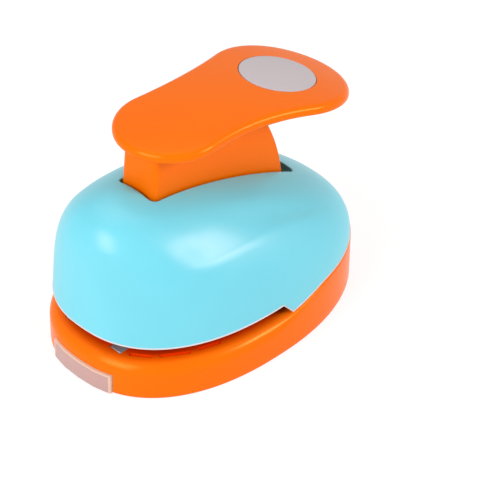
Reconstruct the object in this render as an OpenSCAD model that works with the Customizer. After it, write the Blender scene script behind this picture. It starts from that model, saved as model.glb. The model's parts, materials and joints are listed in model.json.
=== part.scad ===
// Circle craft punch: a thumb lever drives a round cutter through paper held in the front gap.
// The front is -X, the lever's pad is at the back, +Z is up and the table is at z = 0.

/* [Cut] */
// Diameter of the paper disc that it cuts
cut_d = 16; // [12:0.5:17]
// Angle that the lever turns through on a full press, in degrees
press_angle = 20; // [12:1:21]
// Distance from the lever's pivot to the cutter's axis
lever_arm = 14.5; // [13:0.5:16]
// Height of the lever's nose above the pivot
nose_rise = 5.2; // [3:0.2:6]
// Height of the gap that the paper slides into, at the die
throat = 1.8; // [1.2:0.1:2.4]
// Depth of the paper gap, from the front of the base
throat_depth = 34.8; // [34:0.1:37]
// Distance from the front of the base to the cutter's axis
reach = 23.4; // [22.5:0.1:24.5]

/* [Body] */
// Length of the base
body_l = 70.8; // [68:0.2:76]
// Width of the base
body_w = 47.8; // [46:0.2:54]
// Squareness of the outline's front half, where 2 is an ellipse
outline_power = 2.37; // [2.2:0.01:2.7]
// Squareness of the base's back half
back_power = 2.12; // [2.05:0.01:2.3]
// Height of the paper deck above the table
deck_z = 8.8; // [8.4:0.1:10]
// Rise of the base's rear wall above the deck
rear_rise = 2; // [1.6:0.1:2.6]
// Thickness of the base's walls
base_wall = 2.4; // [2:0.1:2.8]
// Radius of the rim round the front of the deck
rim_r = 3.2; // [2:0.1:3.6]
// Radius of the rim under the cover, behind the gap
rear_rim_r = 0.6; // [0.4:0.1:1]
// Radius of the base's bottom edge
foot_r = 0.6; // [0.4:0.1:1]

/* [Cover] */
// Step from the base's outline in to the cover, at the front and back
cover_step_x = 1.2; // [0.8:0.1:1.6]
// Step from the base's outline in to the cover, at the sides
cover_step_y = 0.5; // [0.3:0.1:1]
// Height of the cover's front edge above the deck
cover_lift = 3.4; // [2.8:0.1:4]
// Height of the cover, from its front edge to its top
cover_h = 27.2; // [26:0.2:29]
// Thickness of the cover
cover_wall = 2; // [1.6:0.1:2.4]
// How far the dome's top leans to the front
dome_lean = 21.9; // [20:0.1:23]
// Roundness of the dome, where 2 is an ellipse
dome_power = 1.84; // [1.7:0.01:2]
// Share of its height that the dome loses towards the back
dome_fall = 0.155; // [0.1:0.005:0.2]
// Squareness of the cover's back half
cover_back_power = 2.27; // [2.2:0.01:2.4]
// Depth of the scoop above the side crease
crease_depth = 1; // [0.4:0.1:1.2]
// Gap left at the seam between the cover and the base
seam_gap = 0.1; // [0.05:0.05:0.3]
// Length of the slope at the end of the paper gap
notch_run = 2.8; // [2:0.1:3.2]

/* [Lever] */
// Height of the lever's highest point above the table
lever_top = 50.7; // [50:0.1:54]
// Radius of the pad's front lobe
lobe_front_r = 11.5; // [11:0.1:12.5]
// Radius of the pad's back lobe, under the thumb
lobe_back_r = 14.6; // [13.5:0.1:15.5]
// Distance between the centres of the two lobes
lobe_span = 30.2; // [29:0.1:32]
// Distance from the cutter's axis back to the front lobe's centre
lobe_front_back = 2.6; // [2:0.1:3.4]
// Radius of the hollow curve between the lobes
neck_r = 63; // [50:1:80]
// Thickness of the pad at its edge
pad_t = 2.2; // [2:0.1:2.8]
// Rounding of the pad's upper edge
pad_round = 1.3; // [1:0.1:1.4]
// Rounding of the pad's lower edge
pad_low_r = 0.6; // [0.4:0.1:0.8]
// Crown of the pad across its width
pad_crown = 0.5; // [0.2:0.1:0.8]
// Radius of the curve that bends the pad down to the back
pad_bend_r = 136; // [120:1:150]
// Distance from the front lobe's centre back to the start of the bend
bend_back = 0.9; // [0:0.1:4]
// Width of the stem
stem_w = 9.6; // [9:0.1:10]
// Distance from the cutter's axis forward to the stem's front face
stem_ahead = 6.9; // [6.4:0.1:7.4]
// How far the stem's front face leans back, from the cover up to the pad
stem_lean = 1.4; // [0:0.1:2]
// Radius of the stem's back face about the pivot
stem_back_r = 44.3; // [43:0.1:45]
// Radius of the stem's upright corners
stem_corner = 1.2; // [0.8:0.1:1.4]
// Thickness of the stem's walls
stem_wall = 1.6; // [1.4:0.1:2]
// Gap between the stem and the slot
slot_gap = 0.4; // [0.3:0.05:0.6]
// Space left behind the stem in the slot
slot_spare = 3.7; // [3:0.1:4.5]
// Thickness of the round inlay on the pad
disc_t = 1; // [0.8:0.1:1.2]
// Depth of the inlay's face below the middle of the pad
disc_sink = 0.15; // [0.1:0.05:0.4]
// Distance from the back lobe's centre forward to the inlay's centre
disc_ahead = 0.1; // [0:0.1:2]

/* [Mechanism] */
// Thickness of the die plate
die_t = 2.6; // [2.2:0.1:2.8]
// Width of the die plate
die_w = 29; // [28:0.2:30]
// Width of the die plate's front edge
die_nose_w = 16; // [15:0.2:19]
// Length of the two locating tabs on the die plate's front edge
die_tab = 3.2; // [2.6:0.1:3.4]
// Thickness of the ledge that the die plate sits on
ledge_t = 1.2; // [1:0.1:1.4]
// Thickness of the guide block
guide_t = 4; // [3.8:0.1:4.6]
// Thickness of the carrier
carrier_t = 2.6; // [2.4:0.1:3.2]
// Width of the carrier along the body
carrier_w = 8; // [7:0.2:8.4]
// Radius of the lever's nose
nose_r = 3; // [2.6:0.1:3.2]
// Diameter of the lever's pivot pin
pin_d = 3; // [2.6:0.1:3.2]
// Thickness of the ears that hold the pivot pin
ear_t = 2.8; // [2.4:0.1:3]
// Diameter of the guide posts
post_d = 3; // [2.6:0.1:3.2]
// Diameter of the return springs' wire
wire_d = 0.6; // [0.5:0.05:0.65]
// Number of turns in a return spring
spring_turns = 4.5; // [4:0.5:4.5]

/* [Chip tray] */
// Width of the tray's front tab
tab_w = 17; // [15:0.2:18]
// Height of the opening for the tray's front tab
tab_h = 4.9; // [4.2:0.1:4.9]
// How far the tab stands out from the base
tab_out = 0.5; // [0.2:0.1:0.8]
// Height of the tab's lower edge above the table
tab_low = 0.25; // [0.2:0.05:0.6]
// Height of the tray's underside above the table
tray_lift = 0.6; // [0.4:0.1:0.8]
// Thickness of the tray's floor and walls
tray_wall = 1.2; // [1:0.1:1.4]
// Diameter of the tray's hinge pin
hinge_d = 2; // [1.6:0.1:2.2]

/* [Fits] */
// Radial clearance of the cutter in its guide and in the die
cut_clear = 0.05; // [0.02:0.01:0.1]
// Radial clearance of turning pins and sliding posts
run_clear = 0.06; // [0.02:0.01:0.1]
// Clearance round screws, and of pieces that are fixed together
seat_clear = 0.05; // [0.02:0.01:0.1]
// Gap beside pieces that pass each other
side_gap = 0.3; // [0.2:0.05:0.5]
// Gap round the tray's tab in its opening
tab_gap = 0.15; // [0.1:0.05:0.3]

/* [Hidden] */
$fn = 48;
past = 1;
far = 100;
half_steps = 24;

// Heights of the pieces stacked over the table
half_l = body_l / 2;
half_w = body_w / 2;
die_z = deck_z - die_t;
ceiling_z = die_z - ledge_t;
guide_z = deck_z + throat;
guide_top = guide_z + guide_t;
stroke = lever_arm * sin(press_angle) + nose_rise * (1 - cos(press_angle));
carrier_rest = 0.5;
carrier_z = guide_top + stroke + carrier_rest;
carrier_top = carrier_z + carrier_t;
nose_gap = 0.1;
nose_z = carrier_top + nose_gap + nose_r;
pivot_z = nose_z - nose_rise;
cutter_lift = 0.5;
cutter_z = guide_z + cutter_lift;
cover_edge = deck_z + cover_lift;

// Places along the body, measured from the middle of the base
punch_x = reach - half_l;
pivot_x = punch_x - lever_arm;
notch_x = throat_depth - half_l;
lobe_front_x = punch_x + lobe_front_back;
lobe_back_x = lobe_front_x + lobe_span;
pad_tip = lobe_back_x + lobe_back_r;
disc_x = lobe_back_x - disc_ahead;
stem_front = punch_x - stem_ahead;
bend_x = lobe_front_x + bend_back;
body_x = (half_l + tab_out - max(pad_tip, half_l)) / 2;
rise_back = 0.5;
rise_x = notch_x + rise_back;
rim_ahead = 5.4;
rim_x = notch_x - rim_ahead;
rise_run = 14.5;

// Round pieces of the frame
cut_r = cut_d / 2;
pin_r = pin_d / 2;
post_r = post_d / 2;
hinge_r = hinge_d / 2;
coil_play = 0.25;
pocket_play = 0.4;
coil_r = post_r + wire_d + coil_play;
pocket_r = coil_r + wire_d / 2 + pocket_play;
pocket_web = 1.3;
post_y = cut_r + cut_clear + pocket_web + pocket_r;
pocket_floor = 1;
flange_t = 0.5;
spring_z = guide_z + pocket_floor + flange_t;
post_over = 1.2;
screw_r = 1.5;
head_r = 2.7;
head_h = 1.8;
small_r = 1.25;
small_head_r = 2.3;
small_head_h = 1.3;

// Plan of the guide block, the spacers and their screws
cover_space = 0.8;
guide_inset = cover_step_x + cover_wall + cover_space;
die_front = guide_inset + die_tab - half_l;
die_tab_w = 3;
die_tab_y = (die_nose_w - die_tab_w) / 2;
die_corner = 6;
boss_r = 2.6;
boss_screw = 6;
boss_gap = 3.8;
rear_boss_in = 10;
rear_boss_x = half_l - rear_boss_in;
rear_boss_out = 3.8;
rear_boss_y = stem_w / 2 + rear_boss_out;
die_back = rear_boss_x - boss_r - boss_gap;
spacer_x = notch_x + notch_run;
channel_w = stem_w + 4 * slot_gap;
channel_back = 1.6;
channel_x = punch_x + cut_r + channel_back;
screw_shares = [0.434, 0.821];
frame_screw_x = [for (share = screw_shares) spacer_x + (die_back - spacer_x) * share];
frame_screw_out = 2;
frame_screw_y = (channel_w + die_w) / 4 + frame_screw_out;
spot_face = 0.2;
frame_seat = ceiling_z + spot_face;
die_screw_in = 5.7;
die_screw_x = die_front + die_screw_in;
die_screw_out = 2;
die_screw_y = cut_r + die_screw_out;
front_boss_ahead = 4;
front_boss_x = punch_x - carrier_w / 2 - front_boss_ahead;
front_boss_out = 6.5;
front_boss_y = cut_r + front_boss_out;
ear_in = stem_w / 2 + 0.1;
ear_out = ear_in + ear_t;
ear_r = pin_r + 1.9;
hub_r = pin_r + 1.7;
hub_half = ear_in - side_gap;
clip_t = 0.6;
clip_r = pin_r + 1.2;
clip_y = ear_out + 0.2;
pin_half = clip_y + clip_t + 0.7;
groove_r = pin_r - 0.35;

// Chip tray and its hinge
tray_space = 0.4;
tray_inset = base_wall + tray_space;
hinge_x = notch_x + 1.6;
hinge_z = tray_lift + hinge_r + 1;
knuckle_r = hinge_r + 1;
chip_wall = 1.5;
knuckle_half = cut_r + chip_wall;
lug_t = 2.5;
lug_half = knuckle_half + side_gap + lug_t;
tray_back = hinge_x - knuckle_r - 3;
tray_h = tab_h - tray_lift - tray_space;
tab_turn = 45;
rib_x = hinge_x + knuckle_r + 1.6;
rib_t = 2;

// Point of the squared outline at turn t from the front, with a step inwards
function squared(v, power) = sign(v) * pow(abs(v), 2 / power);
function plan_power(t) = cos(t) < 0 ? back_power : outline_power;
function plan_x(t, step) = -(half_l - step) * squared(cos(t), plan_power(t));
function plan_y(t, step) = (half_w - step) * squared(sin(t), plan_power(t));
function turns() = [for (i = [0 : half_steps]) 180 * i / half_steps];
function ease(s) = s <= 0 ? 0 : s >= 1 ? 1 : s * s * (3 - 2 * s);

// The base's upper edge climbs behind the paper gap, and its rim gets smaller there
function rise(x) = rear_rise * ease((x - rise_x) / rise_run);
function rim(x) = rim_r + (rear_rim_r - rim_r) * ease((x - rim_x) / rise_run);
function rim_half(a) = [for (t = turns())
    let (x = plan_x(t, 0), step = rim(x) * (1 - cos(a)))
    [plan_x(t, step), plan_y(t, step), deck_z + rise(x) - rim(x) * (1 - sin(a))]];
function plain_half(step, z) = [for (t = turns()) [plan_x(t, step), plan_y(t, step), z]];

// The dome at height share u: its ring shrinks, leans to the front and falls to the back
function cover_power(t) = cos(t) < 0 ? cover_back_power : outline_power;
function dome_ahead(t) = squared(cos(t), cover_power(t));
function dome_across(t) = squared(sin(t), cover_power(t));
function dome_x(t, u, wall, in) =
    (in - (half_l - cover_step_x - wall) * shrink(u)) * dome_ahead(t) - dome_lean * u * u;
function dome_y(t, u, wall, in) = ((half_w - cover_step_y - wall) * shrink(u) - in) * dome_across(t);
function shrink(u) = pow(1 - pow(u, dome_power), 1 / dome_power);
function fall(x) = 1 - dome_fall * pow(max(0, min(1, (x + half_l) / body_l)), 2);
function dome_point(t, u, wall, in) =
    let (x = dome_x(t, u, wall, in))
    [x, dome_y(t, u, wall, in), cover_edge + (cover_h - wall) * u * fall(x)];

// The side crease runs level from the front and then down to the back, and fades at both ends
crease_high = 0.585;
crease_low = 0.15;
crease_sag = 0.9;
crease_level = 0.18;
crease_shelf = 0.3;
crease_fade = 1.5;
crease_start = [0.5, 0.3];
crease_stop = [0.85, 0.45];
function crease_u(t) = max(crease_low, crease_high - crease_sag * pow(max(0, -cos(t) - crease_level), 2));
function crease_in(t) = crease_depth * ease((crease_start[0] - cos(t)) / crease_start[1])
    * ease((crease_stop[0] + cos(t)) / crease_stop[1]);
function under_crease(v) = [for (t = turns()) dome_point(t, crease_u(t) * v, 0, 0)];
function over_crease(v) = [for (t = turns())
    dome_point(t, crease_u(t) + (1 - crease_u(t)) * v, 0,
        crease_in(t) * ease(v / crease_shelf) * pow(1 - v, crease_fade))];
function inner_half(u, wall) = [for (t = turns()) dome_point(t, u, wall, 0)];
function skirt_half(wall, z) = [for (t = turns())
    [dome_x(t, 0, wall, 0), dome_y(t, 0, wall, 0), z]];
skirt_z = deck_z - 0.4;
side_shares = [0.12, 0.45, 0.75, 1];
top_shares = [0.03, 0.14, 0.28, 0.42, 0.56, 0.7, 0.82, 0.92, 0.98, 0.998];
inner_shares = [0.998, 0.97, 0.9, 0.78, 0.62, 0.42, 0.2, 0.05];
middle_shares = [0, 0.3, 0.55, 0.75, 0.9];
outer_rings = concat([skirt_half(0, skirt_z)], [for (v = side_shares) under_crease(v)],
    [for (v = top_shares) over_crease(v)]);
inner_rings = concat([for (u = inner_shares) inner_half(u, cover_wall)], [skirt_half(cover_wall, skirt_z)]);
middle_rings = concat([skirt_half(cover_wall / 2, skirt_z)],
    [for (u = middle_shares) inner_half(u, cover_wall / 2)]);

// Outline of the lever's pad: two round lobes and a hollow curve that touches both
neck_a = lobe_front_r + neck_r;
neck_b = lobe_back_r + neck_r;
neck_x = lobe_front_x + (neck_a * neck_a - neck_b * neck_b + lobe_span * lobe_span) / (2 * lobe_span);
neck_y = sqrt(neck_a * neck_a - pow(neck_x - lobe_front_x, 2));
touch_front = atan2(neck_y, neck_x - lobe_front_x);
touch_back = atan2(neck_y, neck_x - lobe_back_x);
function arc(x, y, r, from, to, n) = [for (i = [0 : n]) let (a = from + (to - from) * i / n)
    [x + r * cos(a), y + r * sin(a)]];
function tail(list) = [for (i = [1 : len(list) - 1]) list[i]];
function pad_plan(step) = concat(
    arc(lobe_front_x, 0, lobe_front_r - step, 180, touch_front, 8),
    tail(arc(neck_x, neck_y, neck_r + step, touch_front - 180, touch_back - 180, 6)),
    tail(arc(lobe_back_x, 0, lobe_back_r - step, touch_back, 0, 10)));
function bend(x) = pow(max(0, x - bend_x), 2) / (2 * pad_bend_r);
function crown(step) = pad_crown * (1 - pow(1 - min(1, step / lobe_front_r), 2));
function pad_half(step, z) = [for (q = pad_plan(step))
    [q[0], abs(q[1]) < 0.001 ? 0 : q[1], lever_top - pad_crown + z - bend(q[0])]];
pad_steps = [4, 7, 10];
pad_rings = concat(
    [for (a = [90, 45, 0]) pad_half(pad_low_r * (1 - cos(a)), pad_low_r * (1 - sin(a)) - pad_t)],
    [for (a = [0, 30, 60, 90]) pad_half(pad_round * (1 - cos(a)), -pad_round * (1 - sin(a)))],
    [for (s = pad_steps) pad_half(s, crown(s))]);
disc_tilt = asin((disc_x - bend_x) / pad_bend_r);
disc_z = lever_top - bend(disc_x);

// A closed solid through rings that are alike on both sides of the middle plane
function mirrored(half) = concat(half,
    [for (i = [len(half) - 2 : -1 : 1]) [half[i][0], -half[i][1], half[i][2]]]);
module loft(halves) {
    n = len(halves[0]) - 1;
    m = 2 * n;
    last = (len(halves) - 1) * m;
    points = [for (half = halves) each mirrored(half)];
    walls = [for (r = [0 : len(halves) - 2], i = [0 : m - 1])
        let (j = (i + 1) % m, low = r * m, high = low + m)
        [low + i, low + j, high + j, high + i]];
    lids = [for (i = [0 : n - 1]) let (k = i == 0 ? 0 : m - i)
        i == 0 ? [0, 1, m - 1] : i == n - 1 ? [i, n, k] : [i, i + 1, m - i - 1, k]];
    bottom = [for (f = lids) [for (i = [len(f) - 1 : -1 : 0]) f[i]]];
    top = [for (f = lids) [for (v = f) v + last]];
    polyhedron(points, concat(walls, bottom, top));
}

// Repeated shapes
module at_body() {
    translate([body_x, 0, 0]) children();
}
module both_sides() {
    for (side = [0, 1]) mirror([0, side, 0]) children();
}
module plan_prism(step, z, h) {
    half = plain_half(step, 0);
    translate([0, 0, z]) linear_extrude(h) polygon([for (q = mirrored(half)) [q[0], q[1]]]);
}
module span(x0, x1, y0, y1, z0, z1) {
    translate([x0, y0, z0]) cube([x1 - x0, y1 - y0, z1 - z0]);
}
module rod(x, y, z, h, r) {
    translate([x, y, z]) cylinder(h = h, r = r);
}
module cross_rod(x, z, half, r) {
    translate([x, half, z]) rotate([90, 0, 0]) cylinder(h = 2 * half, r = r);
}
module side_profile(half, points) {
    translate([0, half, 0]) rotate([90, 0, 0]) linear_extrude(2 * half) polygon(points);
}
function rounded(x0, x1, y, r) = concat(
    [for (a = [180 : 15 : 270]) [x0 + r + r * cos(a), -y + r + r * sin(a)]],
    [for (a = [270 : 15 : 360]) [x1 - r + r * cos(a), -y + r + r * sin(a)]],
    [for (a = [0 : 15 : 90]) [x1 - r + r * cos(a), y - r + r * sin(a)]],
    [for (a = [90 : 15 : 180]) [x0 + r + r * cos(a), y - r + r * sin(a)]]);
module rounded_prism(x0, x1, y, r, z, h) {
    translate([0, 0, z]) linear_extrude(h) polygon(rounded(x0, x1, y, r));
}
// Screw with its head at the bottom, pointing up from z
module screw_up(x, y, z, length, r, wide, tall) {
    rod(x, y, z, tall, wide);
    rod(x, y, z, tall + length, r);
}
// Countersunk screw with its flat top at z, pointing down
module screw_down(x, y, z, length, extra) {
    rod(x, y, z - length, length, small_r + extra);
    translate([x, y, z - small_head_h])
        cylinder(h = small_head_h, r1 = small_r + extra, r2 = small_head_r + extra);
}

// Outline of the die plate, grown by a clearance
function die_plan(c) = [[die_front - c, -die_nose_w / 2 - c], [die_front - c, die_nose_w / 2 + c],
    [die_front + die_corner - c, die_w / 2 + c], [die_back + c, die_w / 2 + c],
    [die_back + c, -die_w / 2 - c], [die_front + die_corner - c, -die_w / 2 - c]];
module die_shape(c, h) {
    translate([0, 0, die_z]) linear_extrude(h) polygon(die_plan(c));
    both_sides() span(die_front - die_tab - c, die_front + past, die_tab_y - die_tab_w / 2 - c,
        die_tab_y + die_tab_w / 2 + c, die_z, die_z + h);
}

// Line of the seam between the cover and the base, behind the paper gap
seam_line = [for (q = rim_half(90)) if (q[0] > spacer_x) [q[0], q[2]]];
function seam_at(x) = deck_z + rise(x);

bore_spare = 0.5;
die_boss_h = 2.4;
die_boss_r = small_r + 1.4;
die_screw_l = deck_z - ceiling_z + die_boss_h / 2;
frame_screw_short = 0.8;
frame_screw_l = guide_top - frame_seat - frame_screw_short;
front_screw_z = guide_z + 0.2;
front_screw_l = guide_top - front_screw_z - small_head_h + boss_screw;
rear_ceiling = deck_z - 2.2;
rear_screw_l = deck_z - rear_ceiling + boss_screw;
punch_screw_y = cut_r - small_head_r - 0.5;
punch_screw_in = 5;
punch_screw_l = carrier_t + punch_screw_in;

rim_angles = [0, 22.5, 45, 67.5, 90];
step_x = die_back + 1.5;

module base() {
    color("darkorange") at_body() difference() {
        union() {
            difference() {
                loft(concat([plain_half(foot_r, 0), plain_half(0, foot_r)],
                    [for (a = rim_angles) rim_half(a)]));
                intersection() {
                    plan_prism(base_wall, deck_z, far);
                    span(rim_x + rim_r / 2, far, -far, far, 0, far);
                }
                intersection() {
                    plan_prism(base_wall, -past, ceiling_z + past);
                    span(-far, step_x, -far, far, -far, far);
                }
                intersection() {
                    plan_prism(base_wall, -past, rear_ceiling + past);
                    span(step_x, far, -far, far, -far, far);
                }
            }
            intersection() {
                plan_prism(base_wall / 2, 0, rear_ceiling);
                union() {
                    span(rib_x, rib_x + rib_t, -far, far, 0, ceiling_z + ledge_t / 2);
                    span(rib_x, far, -rib_t / 2, rib_t / 2, foot_r, ceiling_z + ledge_t / 2);
                }
            }
            both_sides() {
                rod(die_screw_x, die_screw_y, ceiling_z - die_boss_h, die_boss_h + ledge_t / 2, die_boss_r);
                span(hinge_x - knuckle_r, hinge_x + knuckle_r, lug_half - lug_t, lug_half, hinge_z, die_z);
                translate([hinge_x, lug_half, hinge_z]) rotate([90, 0, 0]) cylinder(h = lug_t, r = knuckle_r);
            }
        }
        deck_marks();
        die_shape(seat_clear * 3, far);
        rod(punch_x, 0, 0, far, cut_r + chip_wall);
        cross_rod(hinge_x, hinge_z, lug_half + past, hinge_r + seat_clear);
        span(-far, plan_x(tab_turn, base_wall), -tab_w / 2, tab_w / 2, -past, tab_h);
        both_sides() {
            rod(die_screw_x, die_screw_y, 0, far, small_r + seat_clear);
            for (x = frame_screw_x) {
                rod(x, frame_screw_y, 0, far, screw_r + seat_clear);
                rod(x, frame_screw_y, -past, frame_seat + past, head_r + seat_clear);
            }
            rod(rear_boss_x, rear_boss_y, 0, far, small_r + seat_clear);
        }
    }
}

// Three short grooves in a row along each side of the deck's front, where its rim begins
mark_w = 0.8;
mark_depth = 0.35;
mark_turns = [29, 46, 62];
mark_lengths = [4.8, 6.4, 5];
mark_inset = rim_r - mark_w / 4;
function plan_way(t) = atan2(plan_y(t + 1, 0) - plan_y(t - 1, 0), plan_x(t + 1, 0) - plan_x(t - 1, 0));
module deck_marks() {
    both_sides() for (i = [0 : len(mark_turns) - 1])
        translate([plan_x(mark_turns[i], mark_inset), plan_y(mark_turns[i], mark_inset), deck_z - mark_depth])
            rotate([0, 0, plan_way(mark_turns[i])]) translate([-mark_lengths[i] / 2, -mark_w / 2, 0])
                cube([mark_lengths[i], mark_w, past]);
}

module chip_tray() {
    color("lavenderblush") at_body() difference() {
        union() {
            intersection() {
                difference() {
                    plan_prism(tray_inset, tray_lift, tray_h);
                    plan_prism(tray_inset + tray_wall, tray_lift + tray_wall, far);
                }
                span(-far, tray_back, -far, far, 0, far);
            }
            intersection() {
                difference() {
                    plan_prism(-tab_out, tab_low, tab_h - tab_low - tab_gap);
                    plan_prism(tray_inset + tray_wall / 2, 0, far);
                }
                span(-far, plan_x(tab_turn, tray_inset), tab_gap - tab_w / 2, tab_w / 2 - tab_gap, 0, far);
            }
            span(tray_back - past, hinge_x, -knuckle_half, knuckle_half, tray_lift, tray_lift + tray_wall);
            cross_rod(hinge_x, hinge_z, knuckle_half, knuckle_r);
            tray_back_wall();
        }
        cross_rod(hinge_x, hinge_z, far, hinge_r + run_clear);
    }
}

// Wall that closes the tray's back, ahead of its hinge
module tray_back_wall() {
    intersection() {
        plan_prism(tray_inset, tray_lift, tray_h);
        span(tray_back - tray_wall, tray_back, -far, far, 0, far);
    }
}

module tray_hinge_pin() {
    color("silver") at_body() cross_rod(hinge_x, hinge_z, lug_half, hinge_r);
}

module die_plate() {
    color("lightsteelblue") at_body() difference() {
        die_shape(0, die_t);
        rod(punch_x, 0, 0, far, cut_r + cut_clear);
        both_sides() {
            screw_down(die_screw_x, die_screw_y, deck_z, far, seat_clear);
            for (x = frame_screw_x) rod(x, frame_screw_y, 0, far, screw_r + seat_clear);
        }
    }
}

module die_screws() {
    color("gray") at_body() both_sides() screw_down(die_screw_x, die_screw_y, deck_z, die_screw_l, 0);
}

module spacer() {
    color("slategray") at_body() difference() {
        span(spacer_x, die_back, channel_w / 2, die_w / 2, deck_z, guide_z);
        for (x = frame_screw_x) rod(x, frame_screw_y, 0, far, screw_r + seat_clear);
    }
}
module spacer_left() {
    spacer();
}
module spacer_right() {
    mirror([0, 1, 0]) spacer();
}

module guide_block() {
    color("slategray") at_body() difference() {
        union() {
            intersection() {
                plan_prism(guide_inset, guide_z, guide_t);
                span(-far, die_back, -far, far, 0, far);
            }
            both_sides() {
                span(pivot_x - ear_r, pivot_x + ear_r, ear_in, ear_out, guide_z, pivot_z);
                translate([pivot_x, ear_out, pivot_z]) rotate([90, 0, 0]) cylinder(h = ear_t, r = ear_r);
            }
        }
        rod(punch_x, 0, 0, far, cut_r + cut_clear);
        span(channel_x, far, -channel_w / 2, channel_w / 2, 0, far);
        cross_rod(pivot_x, pivot_z, far, pin_r + seat_clear);
        both_sides() {
            rod(punch_x, post_y, guide_z + pocket_floor, far, pocket_r);
            rod(punch_x, post_y, 0, far, post_r + seat_clear);
            for (x = frame_screw_x) rod(x, frame_screw_y, 0, far, screw_r + seat_clear);
            rod(front_boss_x, front_boss_y, 0, far, small_r + seat_clear);
            rod(front_boss_x, front_boss_y, 0, front_screw_z + small_head_h, small_head_r + seat_clear);
        }
    }
}

module frame_screws() {
    color("gray") at_body() both_sides() for (x = frame_screw_x)
        screw_up(x, frame_screw_y, frame_seat - head_h, frame_screw_l, screw_r, head_r, head_h);
}

module guide_post() {
    color("silver") at_body() {
        rod(punch_x, post_y, guide_z, carrier_top + post_over - guide_z, post_r);
        rod(punch_x, post_y, guide_z + pocket_floor, flange_t, pocket_r - seat_clear);
    }
}
module guide_post_left() {
    guide_post();
}
module guide_post_right() {
    mirror([0, 1, 0]) guide_post();
}

// Coil of round wire, one unbroken tube of rings
coil_rings = 8;
coil_sides = 6;
coil_steps = round(spring_turns * coil_rings);
coil_low = spring_z + wire_d / 2 + seat_clear;
coil_high = carrier_z - wire_d / 2 - seat_clear;
function coil_at(s) = let (a = 360 * spring_turns * s / coil_steps)
    [coil_r * cos(a), coil_r * sin(a), coil_low + (coil_high - coil_low) * s / coil_steps];
function coil_out(s) = let (a = 360 * spring_turns * s / coil_steps) [cos(a), sin(a), 0];
coil_points = [for (s = [0 : coil_steps], k = [0 : coil_sides - 1]) let (b = 360 * k / coil_sides)
    coil_at(s) + wire_d / 2 * (cos(b) * coil_out(s) + sin(b) * [0, 0, 1])];
function coil_index(s, k) = s * coil_sides + k % coil_sides;
coil_walls = [for (s = [0 : coil_steps - 1], k = [0 : coil_sides - 1], side = [0, 1]) side == 0
    ? [coil_index(s, k), coil_index(s + 1, k), coil_index(s + 1, k + 1)]
    : [coil_index(s, k), coil_index(s + 1, k + 1), coil_index(s, k + 1)]];
coil_start = [for (k = [1 : coil_sides - 2]) [0, k, k + 1]];
coil_end = [for (k = [1 : coil_sides - 2])
    [coil_index(coil_steps, 0), coil_index(coil_steps, k + 1), coil_index(coil_steps, k)]];
coil_gap = min([for (s = [0 : coil_steps - coil_rings]) norm(coil_at(s + coil_rings) - coil_at(s))]) - wire_d;
echo(least_gap_between_spring_turns = coil_gap);

module return_spring() {
    color("silver") at_body() translate([punch_x, post_y, 0])
        polyhedron(coil_points, concat(coil_walls, coil_start, coil_end));
}
module return_spring_left() {
    return_spring();
}
module return_spring_right() {
    mirror([0, 1, 0]) return_spring();
}

module punch_carrier() {
    carrier_half = post_y + pocket_r;
    carrier_round = 3;
    color("slategray") at_body() difference() {
        rounded_prism(punch_x - carrier_w / 2, punch_x + carrier_w / 2, carrier_half, carrier_round,
            carrier_z, carrier_t);
        both_sides() {
            rod(punch_x, post_y, 0, far, post_r + run_clear);
            screw_down(punch_x, punch_screw_y, carrier_top, far, seat_clear);
        }
    }
}

// The cutter is hollow underneath, which leaves a sharp ring to shear the paper
hollow_h = 2;
cutter_edge = 0.4;
module punch_cutter() {
    color("lightsteelblue") at_body() difference() {
        rod(punch_x, 0, cutter_z, carrier_z - cutter_z, cut_r);
        translate([punch_x, 0, cutter_z - seat_clear])
            cylinder(h = hollow_h, r1 = cut_r - cutter_edge, r2 = cut_r - hollow_h);
        both_sides() rod(punch_x, punch_screw_y, carrier_top - punch_screw_l - bore_spare, far,
            small_r + seat_clear);
    }
}

module punch_screws() {
    color("gray") at_body() both_sides()
        screw_down(punch_x, punch_screw_y, carrier_top - seat_clear, punch_screw_l, 0);
}

module pivot_pin() {
    color("silver") at_body() difference() {
        cross_rod(pivot_x, pivot_z, pin_half, pin_r);
        both_sides() translate([pivot_x, clip_y + clip_t, pivot_z]) rotate([90, 0, 0]) difference() {
            cylinder(h = clip_t, r = pin_r + past);
            cylinder(h = clip_t, r = groove_r);
        }
    }
}

// Open clip that snaps into the groove at the pin's end
module pivot_clip() {
    color("dimgray") at_body() translate([pivot_x, clip_y + clip_t - seat_clear, pivot_z]) rotate([90, 0, 0])
        difference() {
            cylinder(h = clip_t - 2 * seat_clear, r = clip_r);
            cylinder(h = clip_t, r = groove_r + seat_clear);
            translate([0, -groove_r, -past]) cube([far, 2 * groove_r, clip_t + 2 * past]);
        }
}
module pivot_clip_left() {
    pivot_clip();
}
module pivot_clip_right() {
    mirror([0, 1, 0]) pivot_clip();
}

// Side view of the lever under its pad: stem, arm and a back face that is round about the pivot
arm_rise = 14.6;
arm_top = pivot_z + arm_rise;
stem_top = lever_top - pad_crown - pad_t / 2;
stem_dip = 1.4;
web_low = nose_z + 1.4;
stem_low = web_low - past;
arc_steps = 8;
function height_turn(z, r) = asin((z - pivot_z) / r);
function back_arc(r, z0, z1) = [for (i = [0 : arc_steps])
    let (a = height_turn(z0, r) + (height_turn(z1, r) - height_turn(z0, r)) * i / arc_steps)
    [pivot_x + r * cos(a), pivot_z + r * sin(a)]];
stem_arc = back_arc(stem_back_r, stem_low, stem_top - stem_dip);
stem_end = stem_arc[arc_steps];
stem_side = concat(
    [[stem_front - past, stem_top], [stem_front, arm_top],
        [pivot_x - hub_r * cos(30), pivot_z + hub_r * sin(30)], [pivot_x, pivot_z - hub_r / 2],
        [pivot_x + hub_r, pivot_z], [punch_x - nose_r, web_low], [punch_x + carrier_w, web_low]],
    stem_arc, [[stem_end[0] - stem_lean, stem_top - bend(stem_end[0] + stem_lean)]]);
cavity_top = stem_top - pad_t;
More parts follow.
